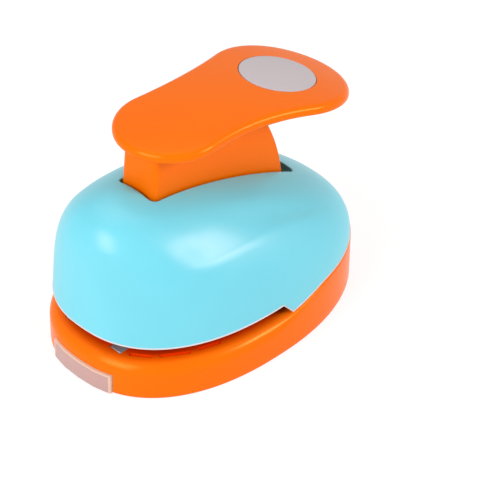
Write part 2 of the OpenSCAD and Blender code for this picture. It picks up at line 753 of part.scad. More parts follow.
cavity_side = concat([[stem_front + 2 * stem_wall, 0], [stem_front + 2 * stem_wall, cavity_top]],
    [for (i = [arc_steps : -1 : 0]) back_arc(stem_back_r - 2 * stem_wall, pivot_z, cavity_top)[i]],
    [[pivot_x + stem_back_r - 2 * stem_wall, 0]]);

// The stem's plan at height z: round corners in front, and a front face that leans back above the arm
function stem_half(front, z) = concat([[front, 0, z]],
    [for (a = [180 : -15 : 90])
        [front + stem_corner * (1 + cos(a)), stem_w / 2 - stem_corner * (1 - sin(a)), z]],
    [[pivot_x + stem_back_r + past, stem_w / 2, z], [pivot_x + stem_back_r + past, 0, z]]);
stem_rings = [stem_half(stem_front, 0), stem_half(stem_front, arm_top),
    stem_half(stem_front + stem_lean, stem_top + past)];

module lever() {
    color("darkorange") at_body() difference() {
        union() {
            loft(pad_rings);
            difference() {
                union() {
                    intersection() {
                        side_profile(stem_w / 2 + past, stem_side);
                        loft(stem_rings);
                    }
                    intersection() {
                        side_profile(hub_half, stem_side);
                        span(-far, stem_front + stem_wall, -far, far, 0, arm_top);
                    }
                }
                side_profile(stem_w / 2 - stem_wall, cavity_side);
            }
            cross_rod(pivot_x, pivot_z, hub_half, hub_r);
            cross_rod(punch_x, nose_z, stem_w / 2 - stem_wall, nose_r);
            span(punch_x - nose_r / 2, punch_x + nose_r / 2, (stem_wall - stem_w) / 2, (stem_w - stem_wall) / 2,
                nose_z, stem_top);
        }
        cross_rod(pivot_x, pivot_z, far, pin_r + run_clear);
        on_pad() cylinder(h = far, r = cut_r + seat_clear);
    }
}

// Seat of the round inlay, square to the pad's bent top
module on_pad() {
    translate([disc_x, 0, disc_z]) rotate([0, disc_tilt, 0])
        translate([0, 0, -disc_sink - disc_t]) children();
}

module thumb_disc() {
    color("lightgray") at_body() on_pad() cylinder(h = disc_t, r = cut_r);
}

module cover() {
    slot_back = pivot_x + stem_back_r + slot_spare - side_gap;
    color("paleturquoise") at_body() difference() {
        union() {
            difference() {
                loft(concat(inner_rings, outer_rings));
                rounded_prism(stem_front - slot_gap, slot_back, stem_w / 2 + slot_gap,
                    stem_corner + slot_gap, guide_top, far);
            }
            intersection() {
                loft(middle_rings);
                both_sides() {
                    rod(front_boss_x, front_boss_y, guide_top, far, boss_r);
                    rod(rear_boss_x, rear_boss_y, deck_z, far, boss_r);
                }
            }
        }
        side_profile(far, concat(
            [[-far, 0], [-far, cover_edge], [notch_x, cover_edge],
                [spacer_x, seam_at(spacer_x) + seam_gap]],
            [for (q = seam_line) [q[0], q[1] + seam_gap]], [[far, seam_at(far) + seam_gap], [far, 0]]));
        both_sides() {
            rod(front_boss_x, front_boss_y, 0, guide_top + boss_screw + bore_spare, small_r + seat_clear);
            rod(rear_boss_x, rear_boss_y, 0, deck_z + boss_screw + bore_spare, small_r + seat_clear);
            cross_rod(pivot_x, pivot_z, pin_half + side_gap, clip_r + side_gap);
        }
    }
}

module cover_screws() {
    color("gray") at_body() both_sides() {
        screw_up(front_boss_x, front_boss_y, front_screw_z, front_screw_l, small_r, small_head_r, small_head_h);
        screw_up(rear_boss_x, rear_boss_y, rear_ceiling - small_head_h, rear_screw_l, small_r, small_head_r,
            small_head_h);
    }
}

base();
chip_tray();
tray_hinge_pin();
die_plate();
die_screws();
spacer_left();
spacer_right();
guide_block();
frame_screws();
guide_post_left();
guide_post_right();
return_spring_left();
return_spring_right();
punch_carrier();
punch_cutter();
punch_screws();
pivot_pin();
pivot_clip_left();
pivot_clip_right();
lever();
thumb_disc();
cover();
cover_screws();
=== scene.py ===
# %% [markdown]
# # A circle craft punch
# A sheet of paper slides into the gap at the front, a thumb presses the lever, and a round cutter shears a
# disc out of it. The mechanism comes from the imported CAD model. This script gives the moulded pieces their
# smooth skins, rounds the edges of the metal ones, and adds finishes, light and a camera.

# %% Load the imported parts
import json
import math

import bmesh
import bpy
from mathutils import Matrix, Vector


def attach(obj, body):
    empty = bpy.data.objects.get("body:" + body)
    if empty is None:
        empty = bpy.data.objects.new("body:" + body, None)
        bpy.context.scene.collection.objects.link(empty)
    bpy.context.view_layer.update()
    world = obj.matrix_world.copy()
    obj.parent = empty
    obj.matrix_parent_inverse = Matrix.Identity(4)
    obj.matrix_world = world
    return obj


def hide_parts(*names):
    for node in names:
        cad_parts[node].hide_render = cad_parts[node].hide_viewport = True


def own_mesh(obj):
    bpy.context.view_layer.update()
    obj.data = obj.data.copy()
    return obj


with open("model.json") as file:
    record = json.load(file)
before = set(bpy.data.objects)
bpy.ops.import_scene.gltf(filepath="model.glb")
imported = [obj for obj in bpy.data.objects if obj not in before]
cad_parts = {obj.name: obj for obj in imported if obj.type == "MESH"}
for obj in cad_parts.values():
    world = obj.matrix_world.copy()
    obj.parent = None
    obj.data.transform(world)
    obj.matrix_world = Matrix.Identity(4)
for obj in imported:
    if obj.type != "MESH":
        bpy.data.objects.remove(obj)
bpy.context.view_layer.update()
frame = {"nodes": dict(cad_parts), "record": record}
scene = bpy.context.scene

# %% [markdown]
# ## Sizes
# The skins repeat the sizes of the CAD model, so each one lies where its solid is. They are written in
# millimetres, measured from the middle of the base, because that is how a maker reads a drawing. X runs to
# the back, Y across and Z up. One helper turns them into metres in the model's frame, whose origin is a
# little in front of the base's middle.

# %% Shared sizes
MM = 0.001
BODY_X = 0.25  # the base's middle in the model's frame
HALF_L, HALF_W = 35.4, 23.9
FRONT_POWER, BASE_BACK_POWER, COVER_BACK_POWER = 2.37, 2.12, 2.27  # 2 is an ellipse, more is squarer
DECK_Z, REAR_RISE = 8.8, 2.0
NOTCH_X, NOTCH_RUN = -0.6, 2.8
RISE_X, RISE_RUN = NOTCH_X + 0.5, 14.5
PUNCH_X = -12.0
PIVOT_X, PIVOT_Z = -26.5, 20.873
WELD = 0.002  # points closer than this become one


def spot(x, y, z):
    """A place in metres in the model's frame, from millimetres about the base's middle."""
    return Vector(((x + BODY_X) * MM, y * MM, z * MM))


def ease(s):
    """A share from 0 to 1 that starts and ends gently."""
    s = min(1.0, max(0.0, s))
    return s * s * (3 - 2 * s)


def squared_turn(turn, back_power):
    """The squared outline's way forward and way across at a turn from the front."""
    power = back_power if math.cos(turn) < 0 else FRONT_POWER
    return tuple(math.copysign(abs(v) ** (2 / power), v) for v in (math.cos(turn), math.sin(turn)))


def seam_z(x):
    """Height of the base's upper edge, which climbs behind the paper gap."""
    return DECK_Z + REAR_RISE * ease((x - RISE_X) / RISE_RUN)


print("seam height at the back:", round(seam_z(HALF_L), 2), "mm")

# %% [markdown]
# ## Growing a skin ring by ring
# Each moulded piece is a smooth shell that changes its outline from one height to the next. A subdivided
# cage would drift off the CAD sizes, so a circle of points is extruded instead, ring after ring, and every
# new ring is moved to its place on the shape. The rings keep their order, so quads run cleanly round the
# piece.

# %% Ring tools
RING_STEPS = 240
rounding = [math.radians(a) for a in (0, 22.5, 45, 67.5, 90)]


def loop_edges(bm, ring):
    return [bm.edges.get((ring[i - 1], ring[i])) for i in range(len(ring))]


def new_verts(made):
    """The vertices among what an extrude operator made."""
    return [g for g in made["geom"] if isinstance(g, bmesh.types.BMVert)]


def next_ring(bm, ring):
    """Extrudes a closed ring and gives the new ring in the same order."""
    fresh = set(new_verts(bmesh.ops.extrude_edge_only(bm, edges=loop_edges(bm, ring))))
    return [next(e.other_vert(v) for e in v.link_edges if e.other_vert(v) in fresh) for v in ring]


def grow(rings):
    """A bmesh through closed rings of places in millimetres, with its first and last ring."""
    bm = bmesh.new()
    ring = bmesh.ops.create_circle(bm, segments=len(rings[0]), radius=MM)["verts"]
    first = list(ring)
    for level, places in enumerate(rings):
        if level:
            ring = next_ring(bm, ring)
        for vert, place in zip(ring, places):
            vert.co = spot(*place)
    return bm, first, list(ring)


def flat_cap(bm, ring):
    bmesh.ops.contextual_create(bm, geom=loop_edges(bm, ring))


def strip_cap(bm, ring):
    """Closes a long ring with strips from side to side, so that a bent top stays smooth."""
    for i in range(len(ring) // 2):
        corners = dict.fromkeys((ring[i], ring[i + 1], ring[-i - 1], ring[-i]))
        bmesh.ops.contextual_create(bm, geom=list(corners))


def even_turns(marks=()):
    """Even turns round an outline, with the nearest one moved to each mark and its mirror."""
    turns = [2 * math.pi * i / RING_STEPS for i in range(RING_STEPS)]
    for mark in marks:
        for place in (mark, 2 * math.pi - mark):
            nearest = min(range(RING_STEPS), key=lambda i: abs(turns[i] - place))
            turns[nearest] = place
    return turns


print("rings of", RING_STEPS, "points")

# %% [markdown]
# ## Cutting and joining
# Pockets, windows and ribs meet the skins at places that no ring follows. A Boolean modifier cuts or joins a
# helper shape there, and its result is taken as plain mesh, so no modifier is left on the piece.

# %% Solid tools
ROUND_SIDES, HOLE_SIDES = 64, 48


def helper_object(bm):
    bmesh.ops.recalc_face_normals(bm, faces=bm.faces)
    mesh = bpy.data.meshes.new("helper")
    bm.to_mesh(mesh)
    bm.free()
    made = bpy.data.objects.new("helper", mesh)
    scene.collection.objects.link(made)
    return made


def combine(bm, other, operation):
    """A body with a helper cut away (DIFFERENCE), joined on (UNION), or only what both hold (INTERSECT)."""
    body, tool = helper_object(bm), helper_object(other)
    step = body.modifiers.new("step", "BOOLEAN")
    step.object = tool
    step.operation = operation
    step.solver = "EXACT"
    graph = bpy.context.evaluated_depsgraph_get()
    mesh = bpy.data.meshes.new_from_object(body.evaluated_get(graph))
    result = bmesh.new()
    result.from_mesh(mesh)
    bpy.data.meshes.remove(mesh)
    for used in (body, tool):
        data = used.data
        bpy.data.objects.remove(used)
        bpy.data.meshes.remove(data)
    return result


def block(x0, x1, y0, y1, z0, z1):
    bm = bmesh.new()
    bmesh.ops.create_cube(bm, size=1)
    bmesh.ops.scale(bm, vec=((x1 - x0) * MM, (y1 - y0) * MM, (z1 - z0) * MM), verts=bm.verts)
    bmesh.ops.translate(bm, vec=spot((x0 + x1) / 2, (y0 + y1) / 2, (z0 + z1) / 2), verts=bm.verts)
    return bm


def bar(length, r, sides):
    """A round bar along Z, about the origin."""
    bm = bmesh.new()
    bmesh.ops.create_cone(bm, cap_ends=True, segments=sides, radius1=r * MM, radius2=r * MM,
                          depth=length * MM)
    return bm


def rod(x, y, z0, z1, r, sides=ROUND_SIDES):
    """A round bar that stands upright."""
    bm = bar(z1 - z0, r, sides)
    bmesh.ops.translate(bm, vec=spot(x, y, (z0 + z1) / 2), verts=bm.verts)
    return bm


def cross_rod(x, z, y0, y1, r):
    """A round bar that lies across the body."""
    bm = bar(y1 - y0, r, ROUND_SIDES)
    bmesh.ops.rotate(bm, matrix=Matrix.Rotation(math.radians(90), 3, "X"), verts=bm.verts)
    bmesh.ops.translate(bm, vec=spot(x, (y0 + y1) / 2, z), verts=bm.verts)
    return bm


def plate(outline, low, high, axis="z"):
    """A flat outline extruded along Z, or along Y where the outline is a side view."""
    upright = axis == "z"
    bm = bmesh.new()
    verts = [bm.verts.new(spot(a, b, low) if upright else spot(a, low, b)) for a, b in outline]
    edges = [bm.edges.new((verts[i - 1], verts[i])) for i in range(len(verts))]
    face = bmesh.ops.contextual_create(bm, geom=edges)
    made = bmesh.ops.extrude_face_region(bm, geom=face["faces"])
    way = Vector((0, 0, high - low) if upright else (0, high - low, 0)) * MM
    bmesh.ops.translate(bm, vec=way, verts=new_verts(made))
    return bm


def side_pair(make):
    """Makes a helper on the left and its twin on the right."""
    both = make(1)
    other = make(-1)
    mesh = bpy.data.meshes.new("twin")
    other.to_mesh(mesh)
    other.free()
    both.from_mesh(mesh)
    bpy.data.meshes.remove(mesh)
    return both


print("helper shapes ready")

# %% [markdown]
# ## Shader maths in plain expressions
# Finishes mix a few noises. Wired by hand, each sum would take several lines, so a small class wraps a socket
# and adds a Math node whenever two values meet in a Python expression. Every other node comes from one
# method, for the materials and for the world alike.

# %% Values in sums, and the nodes behind them
class Value:
    """A number that varies over the surface, for use in sums."""

    def __init__(self, wiring, socket):
        self.wiring = wiring
        self.socket = socket

    def __add__(self, other):
        return self.wiring.calc("ADD", self, other)

    def __radd__(self, other):
        return self.wiring.calc("ADD", other, self)

    def __sub__(self, other):
        return self.wiring.calc("SUBTRACT", self, other)

    def __rsub__(self, other):
        return self.wiring.calc("SUBTRACT", other, self)

    def __mul__(self, other):
        return self.wiring.calc("MULTIPLY", self, other)

    def __rmul__(self, other):
        return self.wiring.calc("MULTIPLY", other, self)


class Wiring:
    """A node tree, and the nodes that are added to it."""

    def __init__(self, tree):
        self.tree = tree

    def node(self, kind, settings=None, sockets=None):
        """A node of any type, with its settings set first and then its sockets."""
        made = self.tree.nodes.new("ShaderNode" + kind)
        for key, value in (settings or {}).items():
            setattr(made, key, value)
        for key, value in (sockets or {}).items():
            self.feed(made.inputs[key], value)
        return made

    def feed(self, socket, value):
        """Links a value or another socket to a socket, or sets a plain number or colour on it."""
        if isinstance(value, Value):
            value = value.socket
        if isinstance(value, bpy.types.NodeSocket):
            self.tree.links.new(value, socket)
        else:
            socket.default_value = value

    def calc(self, operation, *numbers):
        """The result of a Math node on values and plain numbers."""
        made = self.node("Math", {"operation": operation}, dict(enumerate(numbers)))
        return Value(self, made.outputs[0])


print("sums on sockets: + - *")

# %% The finish tools
RELIEF = 0.02


class Finish(Wiring):
    """One material, its shader and the nodes that feed it."""

    def __init__(self, name, **constants):
        self.material = bpy.data.materials.new(name)
        self.material.use_nodes = True
        super().__init__(self.material.node_tree)
        self.shader = self.tree.nodes["Principled BSDF"]
        for key, value in constants.items():
            self.shader.inputs[key.replace("_", " ")].default_value = value
        self.place = self.node("TexCoord").outputs["Object"]

    def axes(self):
        """The three coordinates of a place, in metres in the model's frame."""
        return [Value(self, axis) for axis in self.node("SeparateXYZ", None, {0: self.place}).outputs]

    def noise(self, scale, detail=2.0, stretch=(1, 1, 1)):
        """Noise whose grain is 1 / scale metres, longer along an axis with a small stretch."""
        place = self.node("Mapping", None, {"Vector": self.place, "Scale": stretch}).outputs[0]
        made = self.node("TexNoise", None, {"Vector": place, "Scale": scale, "Detail": detail})
        return Value(self, made.outputs["Fac"])

    def between(self, first, second, amount):
        """A colour between two. A Mix node takes them on its sockets 6 and 7, and gives its output 2."""
        return self.node("Mix", {"data_type": "RGBA"}, {0: amount, 6: first, 7: second}).outputs[2]

    def wear(self, colour, roughness, height=None, strength=0.0):
        """Feeds the varying colour, roughness and relief to the shader."""
        self.feed(self.shader.inputs["Base Color"], colour)
        self.feed(self.shader.inputs["Roughness"], roughness)
        if height is not None:
            relief = {"Strength": strength, "Distance": RELIEF * MM, "Height": height}
            self.feed(self.shader.inputs["Normal"], self.node("Bump", None, relief).outputs[0])
        return self.material


def shade(red, green, blue):
    """A colour as a screen shows it, 0 to 255, as the linear values that a shader takes."""
    screen = [c / 255 for c in (red, green, blue)]
    return (*(((c + 0.055) / 1.055) ** 2.4 if c > 0.04 else c / 12.92 for c in screen), 1)


print("a mid grey of 128 is", round(shade(128, 128, 128)[0], 3), "in linear light")

# %% [markdown]
# ## Moulded plastic
# The base, the lever and the cover are glossy injection mouldings. Such a surface isn't perfectly even: its
# colour drifts slightly where the melt flowed, and a fine orange-peel relief breaks up the reflections. A
# small metallic share gives the orange pieces orange highlights, and a tint keeps those of the cover neutral.
# Painted light shows in some places as a second colour: a red glow on the deck in the paper gap, a pale
# highlight along the cover's lower lip, and a pale highlight on the border of the tray's tab, where the clear
# wall is seen edge on. A mask on the place or on a mesh attribute mixes it in, which needs no second material
# and no image.

# %% Where painted light shows
RIM_IN, DECK_BAND = 1.6, 0.6
GLOW_END, GLOW_FULL = 1.02, 0.82  # shares of the deck's outline
BORDER_X, BORDER_Y, BORDER_Z = -32.6, 7.9, 4.3


def painted_lip_highlight(made):
    """The cover's lower lip, which its mesh marks with an attribute; a pale highlight is painted there."""
    return made.node("Attribute", {"attribute_name": "lip"}).outputs["Fac"]


def painted_gap_glow(made):
    """The paper gap's deck, painted with a red glow for light reaching it through the plastic and by way of
    its other faces.
    """
    x, y, z = made.axes()
    halves = ((x, HALF_L - RIM_IN), (y, HALF_W - RIM_IN))
    shares = [made.calc("ABSOLUTE", way * (1 / (half * MM))) for way, half in halves]
    size = sum(made.calc("POWER", share, FRONT_POWER) for share in shares)
    on_deck = made.calc("COMPARE", z, DECK_Z * MM, DECK_BAND * MM)
    return (GLOW_END - size) * (1 / (GLOW_END - GLOW_FULL)) * on_deck


def painted_tab_highlight(made):
    """A band along the upper edge and the ends of the tray's front tab, where a pale highlight is painted."""
    x, y, z = made.axes()
    ends = made.calc("GREATER_THAN", made.calc("ABSOLUTE", y), BORDER_Y * MM)
    upper = made.calc("GREATER_THAN", z, BORDER_Z * MM)
    return made.calc("MAXIMUM", ends, upper) * made.calc("LESS_THAN", x, BORDER_X * MM)


print("the deck's glow ends", RIM_IN, "mm inside the rim")

# %% Plastic finishes
FLOW, PEEL, DUST = 55, 1500, 240
UNEVEN, PEEL_STRENGTH = 0.05, 0.06


def moulded(name, dark, light, gloss, second=None, where=None, **constants):
    """A glossy moulding, with a second colour of painted light where a mask says so."""
    made = Finish(name, **constants)
    flow = made.noise(FLOW, 3)
    peel = made.noise(PEEL, 2)
    dust = made.noise(DUST, 4)
    colour = made.between(dark, light, flow)
    if where:
        colour = made.between(colour, second, where(made))
    return made.wear(colour, gloss + UNEVEN * flow + UNEVEN * dust, peel, PEEL_STRENGTH)


# The second colours are painted light: a red glow on the deck in the paper gap, and a pale highlight on the
# cover's lip and on the tray's tab.
orange_plastic = moulded("orange_plastic", shade(253, 111, 0), shade(255, 118, 0), 0.2,
                         shade(246, 56, 0), painted_gap_glow, Specular_IOR_Level=0.08, Metallic=0.1)
blue_plastic = moulded("blue_plastic", shade(108, 210, 227), shade(116, 216, 233), 0.3,
                       shade(214, 216, 220), painted_lip_highlight, Specular_IOR_Level=0.6, Specular_Tint=(1, 0.66, 0.66, 1))
grey_plastic = moulded("grey_plastic", shade(192, 181, 183), shade(202, 190, 193), 0.38)
tray_plastic = moulded("tray_plastic", shade(210, 164, 158), shade(220, 175, 168), 0.3,
                       shade(248, 208, 184), painted_tab_highlight, Transmission_Weight=0.2, IOR=1.49)
print("plastic finishes:", [m.name for m in (orange_plastic, blue_plastic, grey_plastic, tray_plastic)])

# %% [markdown]
# ## Steel
# The die, the cutter and their frame are ground or plated steel. Grinding leaves fine lines along one
# direction, so the noise is stretched along the body, and it feeds the colour, the roughness and a faint
# relief.

# %% Steel finishes
LINES, CLOUD = 4200, 120
LINE_SHARE, LINE_STRENGTH = 0.6, 0.12
LINE_ROUGH, CLOUD_ROUGH = 0.14, 0.08


def steel(name, dark, light, gloss, along=(0.03, 1, 1), metallic=1.0):
    made = Finish(name, Metallic=metallic)
    lines = made.noise(LINES, 2, along)
    cloud = made.noise(CLOUD, 3)
    roughness = gloss + LINE_ROUGH * lines + CLOUD_ROUGH * cloud
    colour = made.between(dark, light, lines * LINE_SHARE + cloud * (1 - LINE_SHARE))
    return made.wear(colour, roughness, lines, LINE_STRENGTH)


steels = {
    "bright_steel": steel("bright_steel", shade(190, 182, 186), shade(216, 210, 214), 0.32, metallic=0.85),
    "frame_steel": steel("frame_steel", shade(146, 148, 152), shade(186, 188, 190), 0.26),
    "spring_steel": steel("spring_steel", shade(164, 166, 170), shade(206, 208, 210), 0.2, (1, 1, 0.2)),
    "screw_steel": steel("screw_steel", shade(140, 140, 144), shade(188, 188, 190), 0.24, (1, 1, 0.1)),
}
print("steel finishes:", sorted(steels))

# %% [markdown]
# ## Putting a piece in the model
# A finished skin takes the place of its CAD node: it rides on the same body, takes the material that it is
# given, and the node is hidden. Edges sharper than a limit stay crisp, and the rest is shaded smooth.

# %% The hand-over to the model
BODY_OF = {node: body for body, nodes in frame["record"]["behaviour"]["bodies"].items() for node in nodes}
SLOT_OF = {part["node"]: part["material_slot"] for part in frame["record"]["subparts"]}


def hand_over(bm, name, node, material, crisp=32):
    """Makes a bmesh the finished piece for a CAD node; edges over the crisp angle stay sharp."""
    bmesh.ops.remove_doubles(bm, verts=bm.verts, dist=WELD * MM)
    bmesh.ops.recalc_face_normals(bm, faces=bm.faces)
    mesh = bpy.data.meshes.new(name)
    bm.to_mesh(mesh)
    bm.free()
    mesh.polygons.foreach_set("use_smooth", [True] * len(mesh.polygons))
    mesh.set_sharp_from_angle(angle=math.radians(crisp))
    mesh.materials.append(material)
    made = bpy.data.objects.new(name, mesh)
    scene.collection.objects.link(made)
    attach(made, BODY_OF[node])
    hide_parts(node)
    print(name, "stands for", node, "with", len(mesh.polygons), "faces")
    return made


print("nodes to stand for:", len(BODY_OF))

# %% [markdown]
# ## The cover
# The pale blue shell leans to the front like a helmet. It could be a subdivided cage, but then the slot, the
# seam and the side crease would only be near their places. Here the rings start at the lower edge, climb the
# dome, change from the dome's outline to the slot's, turn over the slot's edge, and come back down the inside
# to the start. Round the back part of the slot they hang lower and make a collar, which hides the inside.

# %% The dome's shape
COVER_EDGE, COVER_H, COVER_WALL = 12.2, 27.2, 2.0
STEP_X, STEP_Y = 1.2, 0.5
LEAN, DOME_POWER, FALL = 21.9, 1.84, 0.155


def shrink(u):
    """Size of the dome's outline at a share of its height."""
    return max(0.0, 1 - u ** DOME_POWER) ** (1 / DOME_POWER)


def fall(x):
    """Share of the height that is left as the dome falls to the back."""
    return 1 - FALL * min(1.0, max(0.0, (x + HALF_L) / (2 * HALF_L))) ** 2


def dome(turn, u, wall=0.0, scoop=0.0):
    """A point of the dome at a turn from the front and a share u of its height."""
    ahead, across = squared_turn(turn, COVER_BACK_POWER)
    x = -(HALF_L - STEP_X - wall) * shrink(u) * ahead + scoop * ahead - LEAN * u * u
    y = ((HALF_W - STEP_Y - wall) * shrink(u) - scoop) * across
    return x, y, COVER_EDGE + (COVER_H - wall) * u * fall(x)


def dome_at_height(turn, z, wall=0.0):
    """A point of the dome at a height. The fall depends on x, so the share is settled in six rounds."""
    u = 0.0
    for _ in range(6):
        x = dome(turn, u, wall)[0]
        u = max(0.0, (z - COVER_EDGE) / ((COVER_H - wall) * fall(x)))
    x, y, _ = dome(turn, u, wall)
    return x, y, z


def dome_over(x, y, wall=0.0):
    """Height of the dome over a point of the plan, found by halving."""
    low, high = 0.0, 0.9999
    for _ in range(40):
        u = (low + high) / 2
        size = max(1e-6, shrink(u))
        along = (x + LEAN * u * u) / ((HALF_L - STEP_X - wall) * size)
        across = abs(y) / ((HALF_W - STEP_Y - wall) * size)
        power = COVER_BACK_POWER if along > 0 else FRONT_POWER
        if abs(along) ** power + across ** power < 1:
            low = u
        else:
            high = u
    return COVER_EDGE + (COVER_H - wall) * low * fall(x)


print("dome top over the middle:", round(dome_over(0, 0), 2), "mm")

# %% The lower edge and the crease
SEAM_GAP = 0.1
CREASE_U, CREASE_LOWEST, CREASE_DIP = 0.585, 0.15, 0.8  # shares of the dome's height
SCOOP_RISE, SCOOP_SIDE_RISE = 0.42, 0.33  # shares of what is above the crease
CREASE_DEPTH, BACK_DEEPER = 0.9, 0.9
DIP_START, DEEPER_RUN = 0.2, 0.4  # these and the next are cosines of the turn
SCOOP_FRONT, SCOOP_FRONT_RUN, SCOOP_BACK, SCOOP_BACK_RUN = 0.52, 0.25, 0.88, 0.4


def cover_low(x):
    """Height of the cover's lower edge: level over the gap, then a notch, then the seam."""
    if x <= NOTCH_X:
        return COVER_EDGE
    seam = seam_z(max(x, NOTCH_X + NOTCH_RUN)) + SEAM_GAP
    return COVER_EDGE + (seam - COVER_EDGE) * min(1.0, (x - NOTCH_X) / NOTCH_RUN)


def edge_z(turn):
    return cover_low(dome(turn, 0)[0])


def crease_share(turn):
    """Share of the dome's height at which the crease runs; it dips to the back."""
    return max(CREASE_LOWEST, CREASE_U - CREASE_DIP * max(0.0, -math.cos(turn) - DIP_START) ** 2)


def scoop_rise(turn):
    """Share of the dome above the crease that the scoop takes, which is larger at the sides."""
    return SCOOP_RISE + SCOOP_SIDE_RISE * math.sin(turn) ** 2


def above_crease(turn, share=1.0):
    """Share of the dome's height at a share of the scoop."""
    return crease_share(turn) + (1 - crease_share(turn)) * (scoop_rise(turn) * share)


def crease_scoop(turn):
    """Depth of the scoop, which fades out to the front and to the back and is deepest behind the middle."""
    ahead = math.cos(turn)
    depth = CREASE_DEPTH * (1 + BACK_DEEPER * ease(-ahead / DEEPER_RUN))
    return depth * ease((SCOOP_FRONT - ahead) / SCOOP_FRONT_RUN) * ease((SCOOP_BACK + ahead) / SCOOP_BACK_RUN)


def turn_at(x):
    """Turn at which the cover's outline passes a distance along the body."""
    power = COVER_BACK_POWER if x > 0 else FRONT_POWER
    return math.acos(-math.copysign(abs(x / (HALF_L - STEP_X)) ** (power / 2), x))


cover_turns = even_turns([turn_at(x) for x in (NOTCH_X, NOTCH_X + NOTCH_RUN)])
print("notch depth:", round(COVER_EDGE - cover_low(NOTCH_X + NOTCH_RUN), 2), "mm")

# %% The slot's outline
SLOT_FRONT, SLOT_BACK, SLOT_HALF, SLOT_CORNER = -19.3, 21.2, 5.2, 1.6
END_TURN, CORNER_TURN = 16.0, 34.0  # degrees from the middle line to the end of the flat and of the corner


def slot_edge(turn, grow_by=0.0):
    """A point of the slot's outline; each end takes about a fifth of the turn."""
    side = 1 if math.sin(turn) >= 0 else -1
    share = math.degrees(math.acos(max(-1.0, min(1.0, math.cos(turn)))))
    back = share > 90
    near = 180 - share if back else share
    inner = SLOT_HALF - SLOT_CORNER
    reach = SLOT_CORNER + grow_by
    middle = (SLOT_FRONT + SLOT_BACK) / 2
    half = (SLOT_BACK - SLOT_FRONT) / 2
    if near <= END_TURN:
        out, y = half + grow_by, inner * near / END_TURN
    elif near <= CORNER_TURN:
        a = math.radians(90 * (near - END_TURN) / (CORNER_TURN - END_TURN))
        out, y = half - SLOT_CORNER + reach * math.cos(a), inner + reach * math.sin(a)
    else:
        out, y = (half - SLOT_CORNER) * (90 - near) / (90 - CORNER_TURN), SLOT_HALF + grow_by
    return middle + (out if back else -out), side * y


print("slot:", round(SLOT_BACK - SLOT_FRONT, 1), "by", 2 * SLOT_HALF, "mm")

# %% The cover's rings
SLOT_ROUND = 0.3
SHELF = 0.45  # the scoop deepens over this share of what is above the crease
COLLAR_T, COLLAR_H, COLLAR_X, COLLAR_RUN = 1.2, 4.5, 2.0, 10.0
LIP_R, LIP_TUCK = 0.2, 0.05


def lower_ring(inset, lift):
    """A ring along the lower edge, moved in and up."""
    return [dome_at_height(turn, edge_z(turn) + lift, inset) for turn in cover_turns]


def wall_ring(share, lift, end, wall=0.0):
    """A ring between the lower edge and a higher line on the wall."""
    ring = []
    for turn in cover_turns:
        low, high = edge_z(turn) + lift, dome(turn, end(turn), wall)[2]
        ring.append(dome_at_height(turn, low + (high - low) * share, wall))
    return ring


def scoop_ring(share):
    """A ring in the scoop above the crease; the scoop fades out upwards."""
    ring = []
    for turn in cover_turns:
        shelf = min(1.0, scoop_rise(turn) * share / SHELF)
        scoop = crease_scoop(turn) * shelf * (2 - shelf) * (1 - share) ** 1.5
        ring.append(dome(turn, above_crease(turn, share), 0, scoop))
    return ring


def top_ring(share, wall=0.0, grow_by=0.0, drop=0.0):
    """A ring between the scoop's end and the slot, which lies on the dome."""
    ring = []
    for turn in cover_turns:
        x0, y0, _ = dome(turn, above_crease(turn), wall)
        x1, y1 = slot_edge(turn, grow_by)
        x, y = x0 + (x1 - x0) * share, y0 + (y1 - y0) * share
        ring.append((x, y, dome_over(x, y, wall) - drop))
    return ring


def collar_ring(grow_by):
    """The lower edge of the collar that hangs from the back part of the slot and hides the inside."""
    hang = [COLLAR_H * ease((x - COLLAR_X) / COLLAR_RUN) for x, _, _ in top_ring(1, COVER_WALL)]
    return [(x, y, z - low) for (x, y, z), low in zip(top_ring(1, COVER_WALL, grow_by), hang)]


print("collar below the slot's back:", COLLAR_H, "mm")

# %% The cover as one shell
SIDE_RINGS, SCOOP_RINGS, TOP_RINGS, INNER_TOP_RINGS = 14, 16, 14, 8
INNER_SHARES = (0.95, 0.88, 0.8, 0.7, 0.55, 0.4, 0.25, 0.1)
PLACE_DIGITS = 6
lip_angles = [math.radians(a) for a in range(-90, 91, 20)]
rings = [lower_ring(LIP_TUCK - LIP_R * math.cos(a), LIP_R * (1 + math.sin(a))) for a in lip_angles]
rings += [wall_ring(k / SIDE_RINGS, 2 * LIP_R, crease_share) for k in range(SIDE_RINGS + 1)]
rings += [scoop_ring(k / SCOOP_RINGS) for k in range(1, SCOOP_RINGS + 1)]
rings += [top_ring(k / TOP_RINGS, 0, SLOT_ROUND) for k in range(1, TOP_RINGS + 1)]
rings += [top_ring(1, 0, SLOT_ROUND * (1 - math.sin(a)), SLOT_ROUND * (1 - math.cos(a)))
          for a in rounding[1:]]
rings += [collar_ring(0), collar_ring(COLLAR_T)]
rings += [top_ring(1 - k / INNER_TOP_RINGS, COVER_WALL, COLLAR_T) for k in range(INNER_TOP_RINGS + 1)]
rings += [wall_ring(share, 0, above_crease, COVER_WALL) for share in INNER_SHARES]
rings.append(lower_ring(COVER_WALL, 0))
shell, first, last = grow(rings)
bmesh.ops.bridge_loops(shell, edges=loop_edges(shell, first) + loop_edges(shell, last))
shell.verts.ensure_lookup_table()
lip_verts = shell.verts[:len(lip_angles) * RING_STEPS]
lip_places = {vert.co.to_tuple(PLACE_DIGITS) for vert in lip_verts}
bmesh.ops.remove_doubles(shell, verts=shell.verts, dist=WELD * MM)
print("cover rings:", len(rings))
